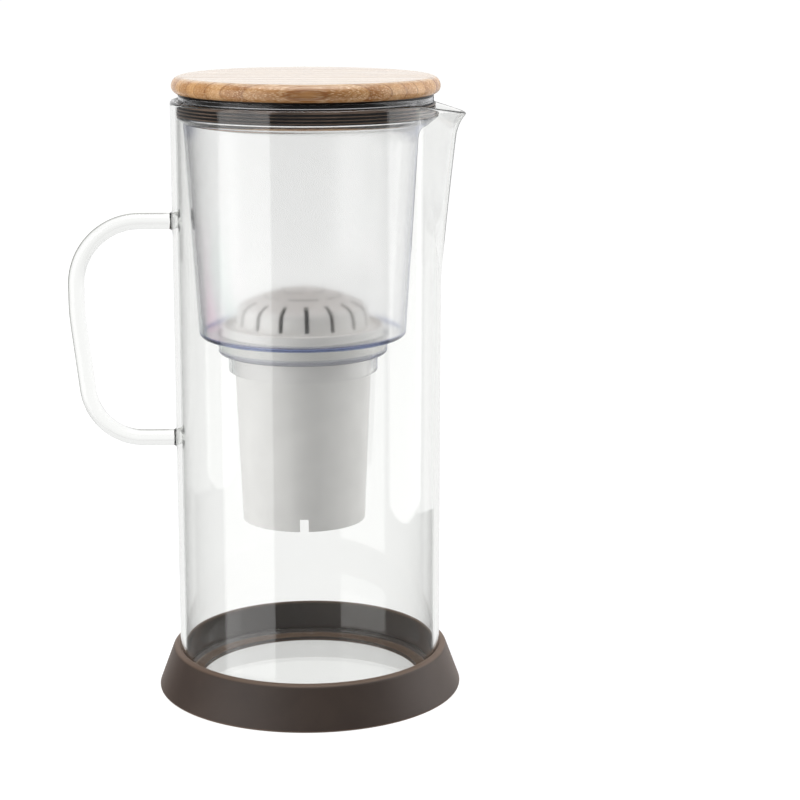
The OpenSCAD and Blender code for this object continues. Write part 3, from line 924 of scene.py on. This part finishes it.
def glass_material():
    """Clear glass with a trace of grey-green that deepens with the way through it. Painted
    shade darkens its colour where it is seen edge-on: at the spout and its tip, on the
    roll of the rim beside it, and along the outer side of the rod."""
    finish = Finish("glass")
    absorb(finish, GLASS_IN_DEPTH, 20)
    across, _, height = finish.split(finish.millimetres())
    normal_x, _, normal_z = finish.facing()
    spout = edge_on(finish, 0.76, 0.92) * across.ramp(GLASS_R - 1, GLASS_R + 2)
    tip = edge_on(finish, 0.6, 0.85) * across.ramp(GLASS_R + 5, GLASS_R + 9)
    roll = height.ramp(RIM_Z - 1.6, RIM_Z - 0.6) * across.ramp(GLASS_R - 8, GLASS_R + 2)
    outer = (normal_z - normal_x).ramp(0.5, 0.9) * across.ramp(-GLASS_R, -4 - GLASS_R)
    # Painted shade: these masks darken the glass where it is seen edge-on, for the dark it shows beside
    # the backdrop.
    edge = spout + tip + roll * 0.5 + edge_on(finish, 0.36, 0.66) * outer
    shader = finish.principled(
        Base_Color=finish.mix(edge.ramp(0, 1), GLASS_FACE, GLASS_EDGE_SHADE),
        Roughness=0.0, IOR=1.47, Transmission_Weight=1.0,
    )
    return finish.surface(clear(finish, shader))


glass_nodes = ("glass_jug", "glass_handle")
add_piece("jug_glass", glass, glass_material(), "jug", glass_nodes)

# %% [markdown]
# ## The silicone base
#
# The jug stands on a ledge inside a soft ring that widens towards its foot. A turned
# outline with round corners is all the shape it needs. Silicone is told by its finish:
# a fine grain and a warm sheen at grazing angles. Its top edge, its foot and the flat of
# the ledge are painted paler: painted highlights, where they catch the light.

# %% The shape of the base
FOOT_R, _, BASE_H = box_mm("silicone_base")[1]
FOOT_CORNER_OUT = 0.45
BASE_TOP_W = 2.85
LEDGE_W = 9.5
BASE_FIT = 0.05


def base_outline():
    """A ring whose outside leans in from foot to top, with a ledge under the heel of the
    jug. The foot's corner stands out past FOOT_R, and its rounding brings it back."""
    ledge_r = GLASS_R - LEDGE_W
    seat_r = GLASS_R + BASE_FIT
    return rounded([
        (ledge_r, 0, 0.4),
        (FOOT_R + FOOT_CORNER_OUT, 0, 1.0),
        (GLASS_R + BASE_TOP_W, BASE_H, 2.7),
        (seat_r, BASE_H, 0.35),
        (seat_r, JUG_Z, HEEL_R + BASE_FIT),
        (ledge_r, JUG_Z, 0.4),
    ], steps=8)


base_skin = turned_skin(base_outline())
print("base: foot radius", FOOT_R, "height", BASE_H)

# %% The finish of the base
TAUPE = srgb(54, 43, 37)
CLOUDY_TAUPE = srgb(62, 50, 43)
HIGHLIGHT_TAUPE = srgb(148, 122, 102)
WARM_SHEEN = (0.80, 0.62, 0.52, 1)


def silicone_material():
    """Matt taupe with a soft cloud, and painted highlights at the top edge, at the foot and
    on the part of the ledge that faces up, where they catch the light."""
    finish = Finish("silicone")
    place = finish.millimetres()
    cloud = finish.noise(place, 0.05, 3)
    grain = finish.noise(place, 3.0, 2)
    height = finish.split(place)[2]
    facing_up = finish.facing()[2]
    # Painted highlights: a paler colour at the top edge, at the foot and on the ledge that faces up.
    edges = height.ramp(BASE_H - 1.2, BASE_H - 0.5) * 0.35 + height.ramp(1.2, 0.5) * 0.45
    ledge = facing_up.ramp(0.8, 0.95) * height.ramp(4, 3)
    colour = finish.mix(cloud.ramp(0.3, 0.7), TAUPE, CLOUDY_TAUPE)
    shader = finish.principled(
        Base_Color=finish.mix((edges + ledge * 0.9).ramp(0, 1), colour, HIGHLIGHT_TAUPE),
        Roughness=0.48 + grain * 0.1, Normal=finish.bump(grain, 0.03),
        Sheen_Weight=0.3, Sheen_Roughness=0.35, Sheen_Tint=WARM_SHEEN,
    )
    return finish.surface(shader)


add_piece("base", base_skin, silicone_material(), "jug", ("silicone_base",))

# %% [markdown]
# ## The reservoir
#
# The clear tank hangs by its band in the mouth of the jug. Its conical wall stands a
# little nearer the handle than the band does, which leaves a channel to pour through,
# so wall and shoulder turn about different axes. Two turned pieces cut together would
# meet in a crease. Instead there is an outline for every angle round the tank, always
# with the same corners, whose places and radii follow the angle.

# %% Sizes of the reservoir
_, _, GUIDE_Z = box_mm("reservoir")[0]
_, _, BAND_TOP_Z = box_mm("reservoir")[1]
TANK_WALL = 1.8
# The clear band at the top, the seat of the gasket below it, and the throat inside.
BAND_R = BORE_R - 1.3
GASKET_TOP_Z = BAND_TOP_Z - 3.1
SEAT_R = BAND_R - 1.5
SEAT_Z = GASKET_TOP_Z - 5.9
THROAT_R = SEAT_R - TANK_WALL
THROAT_TOP_Z = GASKET_TOP_Z + 1
# The lip under the gasket, and the shoulder that leads from it to the conical wall.
LIP_R = BORE_R - 0.6
LIP_Z = SEAT_Z - 0.6
SHOULDER_SLOPE = math.radians(40)
SHOULDER_R = 9
WALL_TOP_R = LIP_R - 5.45
WALL_TOP_Z = RIM_Z - 18.3
TANK_DRAFT = math.radians(3.45)
TANK_SHIFT = 2.3
TANK_FLOOR_Z = RIM_Z - 109.5
TANK_FOOT_R = WALL_TOP_R - (WALL_TOP_Z - TANK_FLOOR_Z) * math.tan(TANK_DRAFT)
# The cup in the floor that holds the cartridge, and the ring that guides it.
CUP_Z = TANK_FLOOR_Z - 8
CUP_BORE_R = 38.5
CUP_WALL = 1.2
GUIDE_BORE_R = 33.1
GUIDE_WALL = 2.0
print("reservoir: foot radius", round(TANK_FOOT_R, 2), "shifted", TANK_SHIFT, "to the handle")

# %% The shoulder of the reservoir
def about_tank(radius, turns):
    """A circle about the jug's axis, as seen from the reservoir's, which stands
    TANK_SHIFT nearer the handle: r = s cos t + sqrt(R^2 - s^2 sin^2 t)."""
    return TANK_SHIFT * np.cos(turns) + np.sqrt(radius**2 - (TANK_SHIFT * np.sin(turns)) ** 2)


def shoulder(lip, edge, inset):
    """The corner between wall and shoulder, and the radius that the slope has room for.
    The wall is r = w + (z - wall top) tan draft and the slope
    z = lip z - (lip - r) tan slope, each moved in by the inset; the corner is where they
    meet. An arc of radius R takes R tan(turn / 2) of the slope, up to its edge."""
    draft, climb = math.tan(TANK_DRAFT), math.tan(SHOULDER_SLOPE)
    wall = WALL_TOP_R - inset / math.cos(TANK_DRAFT)
    top = LIP_Z + inset / math.cos(SHOULDER_SLOPE)
    r = (wall + (top - lip * climb - WALL_TOP_Z) * draft) / (1 - climb * draft)
    run = (edge - r) / math.cos(SHOULDER_SLOPE)
    share = math.tan((math.pi / 2 - SHOULDER_SLOPE - TANK_DRAFT) / 2)
    return r, top - (lip - r) * climb, run / share


near_handle, near_spout = about_tank(LIP_R, np.array([np.pi, 0])).round(2)
print("lip, from the tank's axis:", near_handle, "to the handle,", near_spout, "to the spout")

# %% The outline of the reservoir
TANK_COLUMNS = 224


def reservoir_outline(turns):
    """The section of the reservoir at each angle, about its own axis: up its outside
    from the guide ring, over the clear band, and down the inside. The inner bend takes
    the room of its slope but for 1.2. The outer bend is a wall tighter, but at least 0.8
    and at most SHOULDER_R or 0.45 of its own room."""
    draft, climb = math.tan(TANK_DRAFT), math.tan(SHOULDER_SLOPE)
    floor_z = TANK_FLOOR_Z + TANK_WALL
    inner_foot_r = TANK_FOOT_R + TANK_WALL * draft - TANK_WALL / math.cos(TANK_DRAFT)
    lip, seat, band, throat = (about_tank(r, turns) for r in (LIP_R, SEAT_R, BAND_R, THROAT_R))
    inner_r, inner_z, room = shoulder(lip, throat, TANK_WALL)
    inner_bend = np.maximum(room - 1.2, 0.2)
    outer_r, outer_z, room = shoulder(lip, lip, 0.0)
    outer_bend = np.clip(inner_bend - TANK_WALL, 0.8, np.minimum(0.45 * room, SHOULDER_R))
    throat_z = LIP_Z + TANK_WALL / math.cos(SHOULDER_SLOPE) - (lip - throat) * climb
    guide_r = GUIDE_BORE_R + GUIDE_WALL
    cup_r = CUP_BORE_R + CUP_WALL
    return rounded([
        (guide_r, GUIDE_Z, 1.0),
        (guide_r, CUP_Z, 0.4),
        (cup_r, CUP_Z, 1.4),
        (cup_r, TANK_FLOOR_Z, 0.6),
        (TANK_FOOT_R, TANK_FLOOR_Z, 2.4),
        (outer_r, outer_z, outer_bend),
        (lip, LIP_Z, 0.25),
        (lip, SEAT_Z, 0.25),
        (seat, SEAT_Z, 0.25),
        (seat, GASKET_TOP_Z, 0.25),
        (band, GASKET_TOP_Z, 0.35),
        (band, BAND_TOP_Z, 0.5),
        (band - TANK_WALL, BAND_TOP_Z, 0.5),
        (band - TANK_WALL, THROAT_TOP_Z, 0.3),
        (throat, THROAT_TOP_Z, 0.4),
        (throat, throat_z, np.minimum(0.8, inner_bend)),
        (inner_r, inner_z, inner_bend),
        (inner_foot_r, floor_z, 0.6),
        (CUP_BORE_R, floor_z, 0.5),
        (CUP_BORE_R, CUP_Z + TANK_WALL, 0.5),
        (GUIDE_BORE_R, CUP_Z + TANK_WALL, 0.4),
        (GUIDE_BORE_R, GUIDE_Z, 0.4),
    ], columns=len(turns), steps=7)


tank_outline = reservoir_outline(turn_angles(TANK_COLUMNS))
tank_skin = turned_skin(tank_outline, TANK_COLUMNS, axis_x=-TANK_SHIFT)
print("reservoir: an outline of", len(tank_outline), "rows")

# %% [markdown]
# Moulded plastic isn't as clear as glass. It mirrors less sharply, a violet tint
# gathers wherever its wall is seen end-on, and the strain of moulding leaves a trace of
# pink and green. A volume strong enough to show in the edges would tint the faces too,
# so masks of place and viewing angle choose where the violet lies.

# %% The finish of the reservoir
PLASTIC_IN_DEPTH = (0.30, 0.27, 0.55, 1)
VIOLET = (0.07, 0.11, 0.34, 1)
PINK = (1.0, 0.90, 0.955, 1)
GREEN = (0.91, 0.975, 0.955, 1)
COLOURLESS = (1, 1, 1, 1)


def violet_mask(finish, x, radius, z):
    """0 to 1 for how violet the plastic is: in the lower corners of tank and cup, on
    upright walls seen edge-on, more so towards the spout, and on the shoulder."""
    corner = radius.ramp(TANK_FOOT_R - 3.0, TANK_FOOT_R - 1.0)
    corner = corner * z.ramp(TANK_FLOOR_Z + 3.2, TANK_FLOOR_Z + 1.8)
    cup_corner = radius.ramp(CUP_BORE_R - 1.0, CUP_BORE_R) * z.ramp(CUP_Z + 3, CUP_Z + 1.8)
    normal_z = finish.facing()[2].size()
    upright = (normal_z.ramp(0.6, 0.3) + z.ramp(WALL_TOP_Z - 8, WALL_TOP_Z - 4)).ramp(0, 1)
    side = edge_on(finish, 0.77, 0.85) * upright * (0.4 + x.ramp(-5, 5) * 1.2)
    slope = z.ramp(WALL_TOP_Z, WALL_TOP_Z + 4) * z.ramp(LIP_Z, LIP_Z - 1)
    side = side + edge_on(finish, 0.5, 0.8) * slope
    return (corner * 1.5 + cup_corner * 0.8 + side * 0.8).ramp(0, 1.5)


def clear_plastic_material():
    """Clear plastic, satin face-on and polished at grazing angles, with its violet and,
    low on the handle's side, its strain colours."""
    finish = Finish("clear_plastic")
    absorb(finish, PLASTIC_IN_DEPTH, 5)
    x, y, z = finish.split(finish.millimetres(shift=(TANK_SHIFT, 0, 0)))
    radius = (x * x + y * y) ** 0.5
    strain = finish.noise(finish.millimetres((1, 1, 0.4)), 0.045, 1)
    strained = finish.mix(strain.ramp(0.42, 0.58), PINK, GREEN)
    low = x.ramp(-28, -42) * z.ramp(TANK_FLOOR_Z + 60, TANK_FLOOR_Z)
    moulded = finish.mix(low, COLOURLESS, strained)
    shader = finish.principled(
        Base_Color=finish.mix(violet_mask(finish, x, radius, z), moulded, VIOLET),
        Roughness=0.16 - edge_on(finish, 0.4, 0.65) * 0.14, IOR=1.46,
        Transmission_Weight=1.0, Specular_Tint=(0.5, 0.5, 0.5, 1),
    )
    return finish.surface(clear(finish, shader))


plastic = clear_plastic_material()
add_piece("reservoir_body", tank_skin, plastic, "reservoir", ("reservoir",))

# %% [markdown]
# ## The gasket
#
# Soft ribs of brown silicone seal the tank against the mouth of the jug. They are real
# geometry, repeated a pitch apart, because they break the reflection of each soft box
# into the row of short dashes that shows a ribbed seal. The thin pale line on each tip
# is a painted highlight: it is too fine for a ring of faces.

# %% The shape of the gasket
GASKET_R = SEAT_R + 0.05
RIB_ROOT_R = GASKET_R + 1.1
RIB_TIP_R = BORE_R - 0.35
RIBS = 4
RIB_PITCH = (GASKET_TOP_Z - SEAT_Z) / RIBS
RIB_HALF = 0.42 * RIB_PITCH


def gasket_outline():
    """A thin band, and on its outside the ribs, each from the root to the tip and back."""
    corners = [(GASKET_R, SEAT_Z, 0.1)]
    for index in range(RIBS):
        middle = SEAT_Z + RIB_PITCH * (index + 0.5)
        corners += [
            (RIB_ROOT_R, middle - RIB_HALF, 0.1), (RIB_TIP_R, middle - RIB_HALF, 0.55),
            (RIB_TIP_R, middle + RIB_HALF, 0.55), (RIB_ROOT_R, middle + RIB_HALF, 0.1),
        ]
    return rounded(corners + [(GASKET_R, GASKET_TOP_Z, 0.1)], steps=5)


gasket_skin = turned_skin(gasket_outline())
print("gasket:", RIBS, "ribs,", round(RIB_PITCH, 3), "apart")

# %% The finish of the gasket
BROWN = srgb(18, 11, 8)
RIB_HIGHLIGHT_BROWN = srgb(118, 98, 84)


def rubber_material(name, colour, roughness, ribs=None):
    """Moulded rubber. Where ribs give a foot and a pitch in height, a pale line is painted
    round the tip of each rib: a painted highlight, where the rib catches the light."""
    finish = Finish(name)
    place = finish.millimetres()
    grain = finish.noise(place, 2.5, 2)
    tone = finish.mix(grain.ramp(0.3, 0.7), colour, darker(colour, 0.85))
    if ribs:
        foot, pitch = ribs
        share = ((finish.split(place)[2] - foot) * (1 / pitch)).fraction()
        # Painted highlight: a pale line round the tip of each rib, in patches.
        tip = (share - 0.5).size().ramp(0.22, 0.10)
        patch = finish.noise(place, 0.06, 2).ramp(0.30, 0.65)
        tone = finish.mix(tip * (0.2 + patch * 0.8), tone, RIB_HIGHLIGHT_BROWN)
    shader = finish.principled(
        Base_Color=tone, Roughness=roughness + grain * 0.1, Specular_IOR_Level=0.15
    )
    return finish.surface(shader)


ribbed = rubber_material("ribbed_silicone", BROWN, 0.25, ribs=(SEAT_Z, RIB_PITCH))
add_piece("gasket", gasket_skin, ribbed, "reservoir", ("reservoir_gasket",))

# %% [markdown]
# ## The bamboo lid
#
# The lid is a board of bamboo strips, glued side by side and then turned round, with a
# spigot below that holds the seal. An image of wood wrapped over it would smear at the
# rim. A solid pattern in the object's own coordinates runs through the board as in the
# real one: the same fibres are long streaks on top and dots where the rim cuts them.

# %% The shape of the lid
LID_R, _, LID_TOP_Z = box_mm("bamboo_lid")[1]
LID_Z = LID_TOP_Z - 8
SPIGOT_R = THROAT_R - 5.7
SPIGOT_Z = LID_Z - 8.2
GROOVE_TOP_Z = LID_Z - 3.4
GROOVE_Z = GROOVE_TOP_Z - 1.6
GROOVE_R = SPIGOT_R - 0.8
POLE_R = 8  # of the rings next to the poles
UNDERSIDE_R = 30  # of a ring on the flat of the underside
TOP_R = 40  # and of one on the top


def lid_outline():
    """From the middle of the spigot's underside, past the groove of the seal and round
    the rim of the board, to the middle of its top."""
    return rounded([
        (POLE_R, SPIGOT_Z, 0), (UNDERSIDE_R, SPIGOT_Z, 0), (SPIGOT_R, SPIGOT_Z, 1.0),
        (SPIGOT_R, GROOVE_Z, 0.2), (GROOVE_R, GROOVE_Z, 0.2),
        (GROOVE_R, GROOVE_TOP_Z, 0.2), (SPIGOT_R, GROOVE_TOP_Z, 0.2),
        (SPIGOT_R, LID_Z, 0.3), (LID_R, LID_Z, 3.4), (LID_R, LID_TOP_Z, 4.6),
        (TOP_R, LID_TOP_Z, 0), (POLE_R, LID_TOP_Z, 0),
    ], closed=False, steps=10)


lid_skin = turned_skin(lid_outline(), closed=False)
print("lid:", round(LID_TOP_Z - LID_Z, 2), "thick, spigot", round(LID_Z - SPIGOT_Z, 2), "deep")

# %% The strips of bamboo
STRIP_W = 6.2
STRIP_SHIFT = 20.645  # in strips: places the glue lines, and keeps the numbers positive
NODE_GAP = 70


def chance_of(finish, number):
    """A random value from 0 to 1 that belongs to the number."""
    return finish.node("TexWhiteNoise", {"noise_dimensions": "1D"}, {"W": number}, out="Value")


def bamboo_strips(finish):
    """The strips lie side by side along Y and wander a little. Returns a strip's random
    value, the place across it from 0 to 1, and the dark lines of its nodes, which cross
    it a node gap apart."""
    x, y, _ = finish.split(finish.millimetres())
    wander = finish.noise(finish.millimetres((0.012, 0.02, 0.02)), 1.0, 2)
    across = (y + wander * 3.0) * (1 / STRIP_W) + STRIP_SHIFT
    strip = across.floor()
    along = (x + chance_of(finish, strip + 0.5) * 400) * (1 / NODE_GAP)
    node = (along.fraction() - 0.5).size().ramp(0.05, 0.0) * 0.35
    return chance_of(finish, strip), across.fraction(), node


def bamboo_dots(finish):
    """The fibres as bright cells that are drawn out along X."""
    cells = {"Vector": finish.millimetres((0.03, 1.0, 1.0)), "Scale": 2.1, "Randomness": 0.8}
    return finish.node("TexVoronoi", None, cells, out="Distance").ramp(0.44, 0.22)


print("bamboo:", round(2 * LID_R / STRIP_W, 1), "strips across the lid")

# %% The finish of the lid
DEEP_BAMBOO = srgb(144, 88, 40)
LIGHT_BAMBOO = srgb(212, 164, 110)
BAMBOO_FIBRE = srgb(248, 218, 178)
TOP_LIT_BAMBOO = srgb(248, 226, 194)
BAMBOO_GLUE = srgb(134, 84, 42)
WARM_GLOSS = (1.0, 0.97, 0.90, 1)
WARM_COAT = (1.0, 0.97, 0.92, 1)


def bamboo_material():
    """Each strip has its own tone and deepens towards one side, where the fibres are dense.
    The top is polished and painted paler, as light from above; the turned rim stays satin."""
    finish = Finish("bamboo")
    chance, share, node = bamboo_strips(finish)
    fibre = bamboo_dots(finish)
    facing_up = finish.facing()[2].ramp(0.75, 0.98)
    streaks = finish.noise(finish.millimetres((0.010, 1.3, 1.3)), 1.0, 4, 0.65)
    fine = finish.noise(finish.millimetres((0.25, 3.2, 3.2)), 1.0, 2, 0.7)
    grain = finish.noise(finish.millimetres((0.006, 0.55, 0.55)), 1.0, 3, 0.7)
    flip = chance.ramp(0.49, 0.51)
    dense = share * flip + (1 - share) * (1 - flip)
    glue = (share - 0.5).size().ramp(0.42, 0.5) * 0.75
    tone = streaks.ramp(0.3, 0.7) * 0.35 + chance * 0.45 + (1 - dense) * 0.3
    colour = finish.mix(tone.ramp(0.1, 1.0), DEEP_BAMBOO, LIGHT_BAMBOO)
    colour = finish.mix(fibre * 0.85 * fine.ramp(0.2, 0.6), colour, BAMBOO_FIBRE)
    # Painted light: the streaks on the part that faces up are made paler, as if lit from above.
    colour = finish.mix(facing_up * streaks.ramp(0.35, 0.6) * 0.6, colour, TOP_LIT_BAMBOO)
    height = streaks * 0.5 + fibre * 0.4 - glue * 0.5
    polish = facing_up * (1 - grain.ramp(0.45, 0.60) * 0.85) * (1 - glue)
    shader = finish.principled(
        Base_Color=finish.mix((node + glue).ramp(0, 1), colour, BAMBOO_GLUE),
        Roughness=0.24 - facing_up * 0.08 + streaks * 0.06,
        Normal=finish.bump(height, 0.04, 0.4),
        Specular_Tint=WARM_GLOSS, Specular_IOR_Level=0.8,
        Coat_Weight=polish, Coat_Roughness=0.12, Coat_Tint=WARM_COAT,
    )
    return finish.surface(shader)


add_piece("lid_board", lid_skin, bamboo_material(), "lid", ("bamboo_lid",))

# %% [markdown]
# ## The filter
#
# The cartridge is a white cup with a slotted dome, and inside it lie beds of carbon and
# resin between woven screens. These parts and the seals keep their CAD meshes, which
# are fine enough for turned plastic, and only need finishes: a slightly uneven moulded
# white, a weave, broken grains and round beads. Grains as separate objects would be
# thousands of faces inside a closed cup, so a pattern of cells stands for them.

# %% Moulded white
WHITE = srgb(242, 241, 239)
NO_GLOW = (0, 0, 0, 1)
PAINTED_LIGHT_GLOW = (1, 0.965, 0.985, 1)


def plain(name, colour, roughness, glow=0.0):
    """A moulded plastic: one colour, a faint cloud in it and a faint grain on it. The
    glow is painted light on what faces up, for light that thin plastic carries there."""
    finish = Finish(name)
    cloud = finish.noise(finish.millimetres(), 0.08, 2)
    grain = finish.noise(finish.millimetres(), 2.0, 2)
    facing_up = finish.facing()[2].ramp(0.35, 0.9)
    shader = finish.principled(
        Base_Color=finish.mix(cloud.ramp(0.35, 0.65), colour, darker(colour, 0.95)),
        Roughness=roughness + grain * 0.08, Normal=finish.bump(grain, 0.01),
        Emission_Color=finish.mix(facing_up, NO_GLOW, PAINTED_LIGHT_GLOW),
        Emission_Strength=glow,
    )
    return finish.surface(shader)


white = plain("white_plastic", WHITE, 0.42)
# The dome's glow is painted light on its top, which the lid shades.
white_dome = plain("white_dome", WHITE, 0.42, glow=0.17)
white_seal = plain("white_silicone", srgb(228, 228, 225), 0.5)
print("moulded white:", len(white.node_tree.nodes), "nodes")

# %% The weave of the screens
def woven(name, colour, pitch):
    """A plain weave: two sets of round threads along X and Y, each a parabola across its
    own pitch. Which set is on top alternates from cell to cell like a chessboard, and
    the colour is painted darker where the threads sink: painted shade."""
    finish = Finish(name)
    x, y, _ = finish.split(finish.millimetres())
    along, across = x * (1 / pitch), y * (1 / pitch)
    warp = 1 - ((along.fraction() - 0.5) * 2).size() ** 2
    weft = 1 - ((across.fraction() - 0.5) * 2).size() ** 2
    turn = ((along.floor() + across.floor()) * 0.5).fraction().ramp(0.2, 0.3)
    height = warp * (0.5 + turn * 0.5) + weft * (1 - turn * 0.5)
    shader = finish.principled(
        # Painted shade: the low parts of the threads are darker.
        Base_Color=finish.mix(height.ramp(0.4, 1.0), darker(colour, 0.35), colour),
        Roughness=0.5 + turn * 0.1, Normal=finish.bump(height, 0.1),
    )
    return finish.surface(shader)


screen = woven("filter_mesh", srgb(205, 207, 210), 0.5)
print("weave:", len(screen.node_tree.nodes), "nodes")

# %% Grains and beads
def granular(name, dark, light, grain, roughness, roundness):
    """Grains of a size in millimetres, each a cell of a Voronoi pattern with its own tone,
    and painted shade in the gaps between them. A roundness of 1 makes them domes, and 0
    pointed chips at uneven heights."""
    finish = Finish(name)
    cells = {"Vector": finish.millimetres(), "Scale": 1 / grain, "Randomness": 0.9}
    far = finish.node("TexVoronoi", None, cells, out="Distance")
    tone = finish.split(far.out("Color"))[0]
    gap = far.ramp(0.45, 0.75)
    dome = 1 - far.ramp(0, 0.8) ** (1 + roundness)
    colour = finish.mix(tone, dark, light)
    shader = finish.principled(
        # Painted shade: the gaps between the grains are nearly black.
        Base_Color=finish.mix(gap, colour, darker(dark, 0.3)),
        Roughness=roughness + tone * 0.15,
        Normal=finish.bump(dome + tone * (1 - roundness), grain * 0.4),
    )
    return finish.surface(shader)


carbon = granular("carbon", srgb(16, 16, 17), srgb(52, 52, 54), 1.1, 0.35, 0.0)
resin = granular("resin", srgb(150, 104, 44), srgb(206, 160, 86), 0.8, 0.15, 1.0)
print("grains:", len(carbon.node_tree.nodes), "nodes each")

# %% Dress the parts that keep their CAD mesh
def dress(node, material):
    """Gives a CAD node its finish."""
    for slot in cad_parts[node].material_slots:
        slot.material = material


brown = rubber_material("brown_silicone", BROWN, 0.25)
finishes = {
    "cartridge_cup": white,
    "cartridge_cap": white_dome,
    "cartridge_seal": white_seal,
    "lid_seal": brown,
    "top_screen": screen,
    "middle_screen": screen,
    "bottom_screen": screen,
    "carbon_bed": carbon,
    "resin_bed": resin,
}
for node, material in finishes.items():
    dress(node, material)
print("dressed:", ", ".join(finishes))
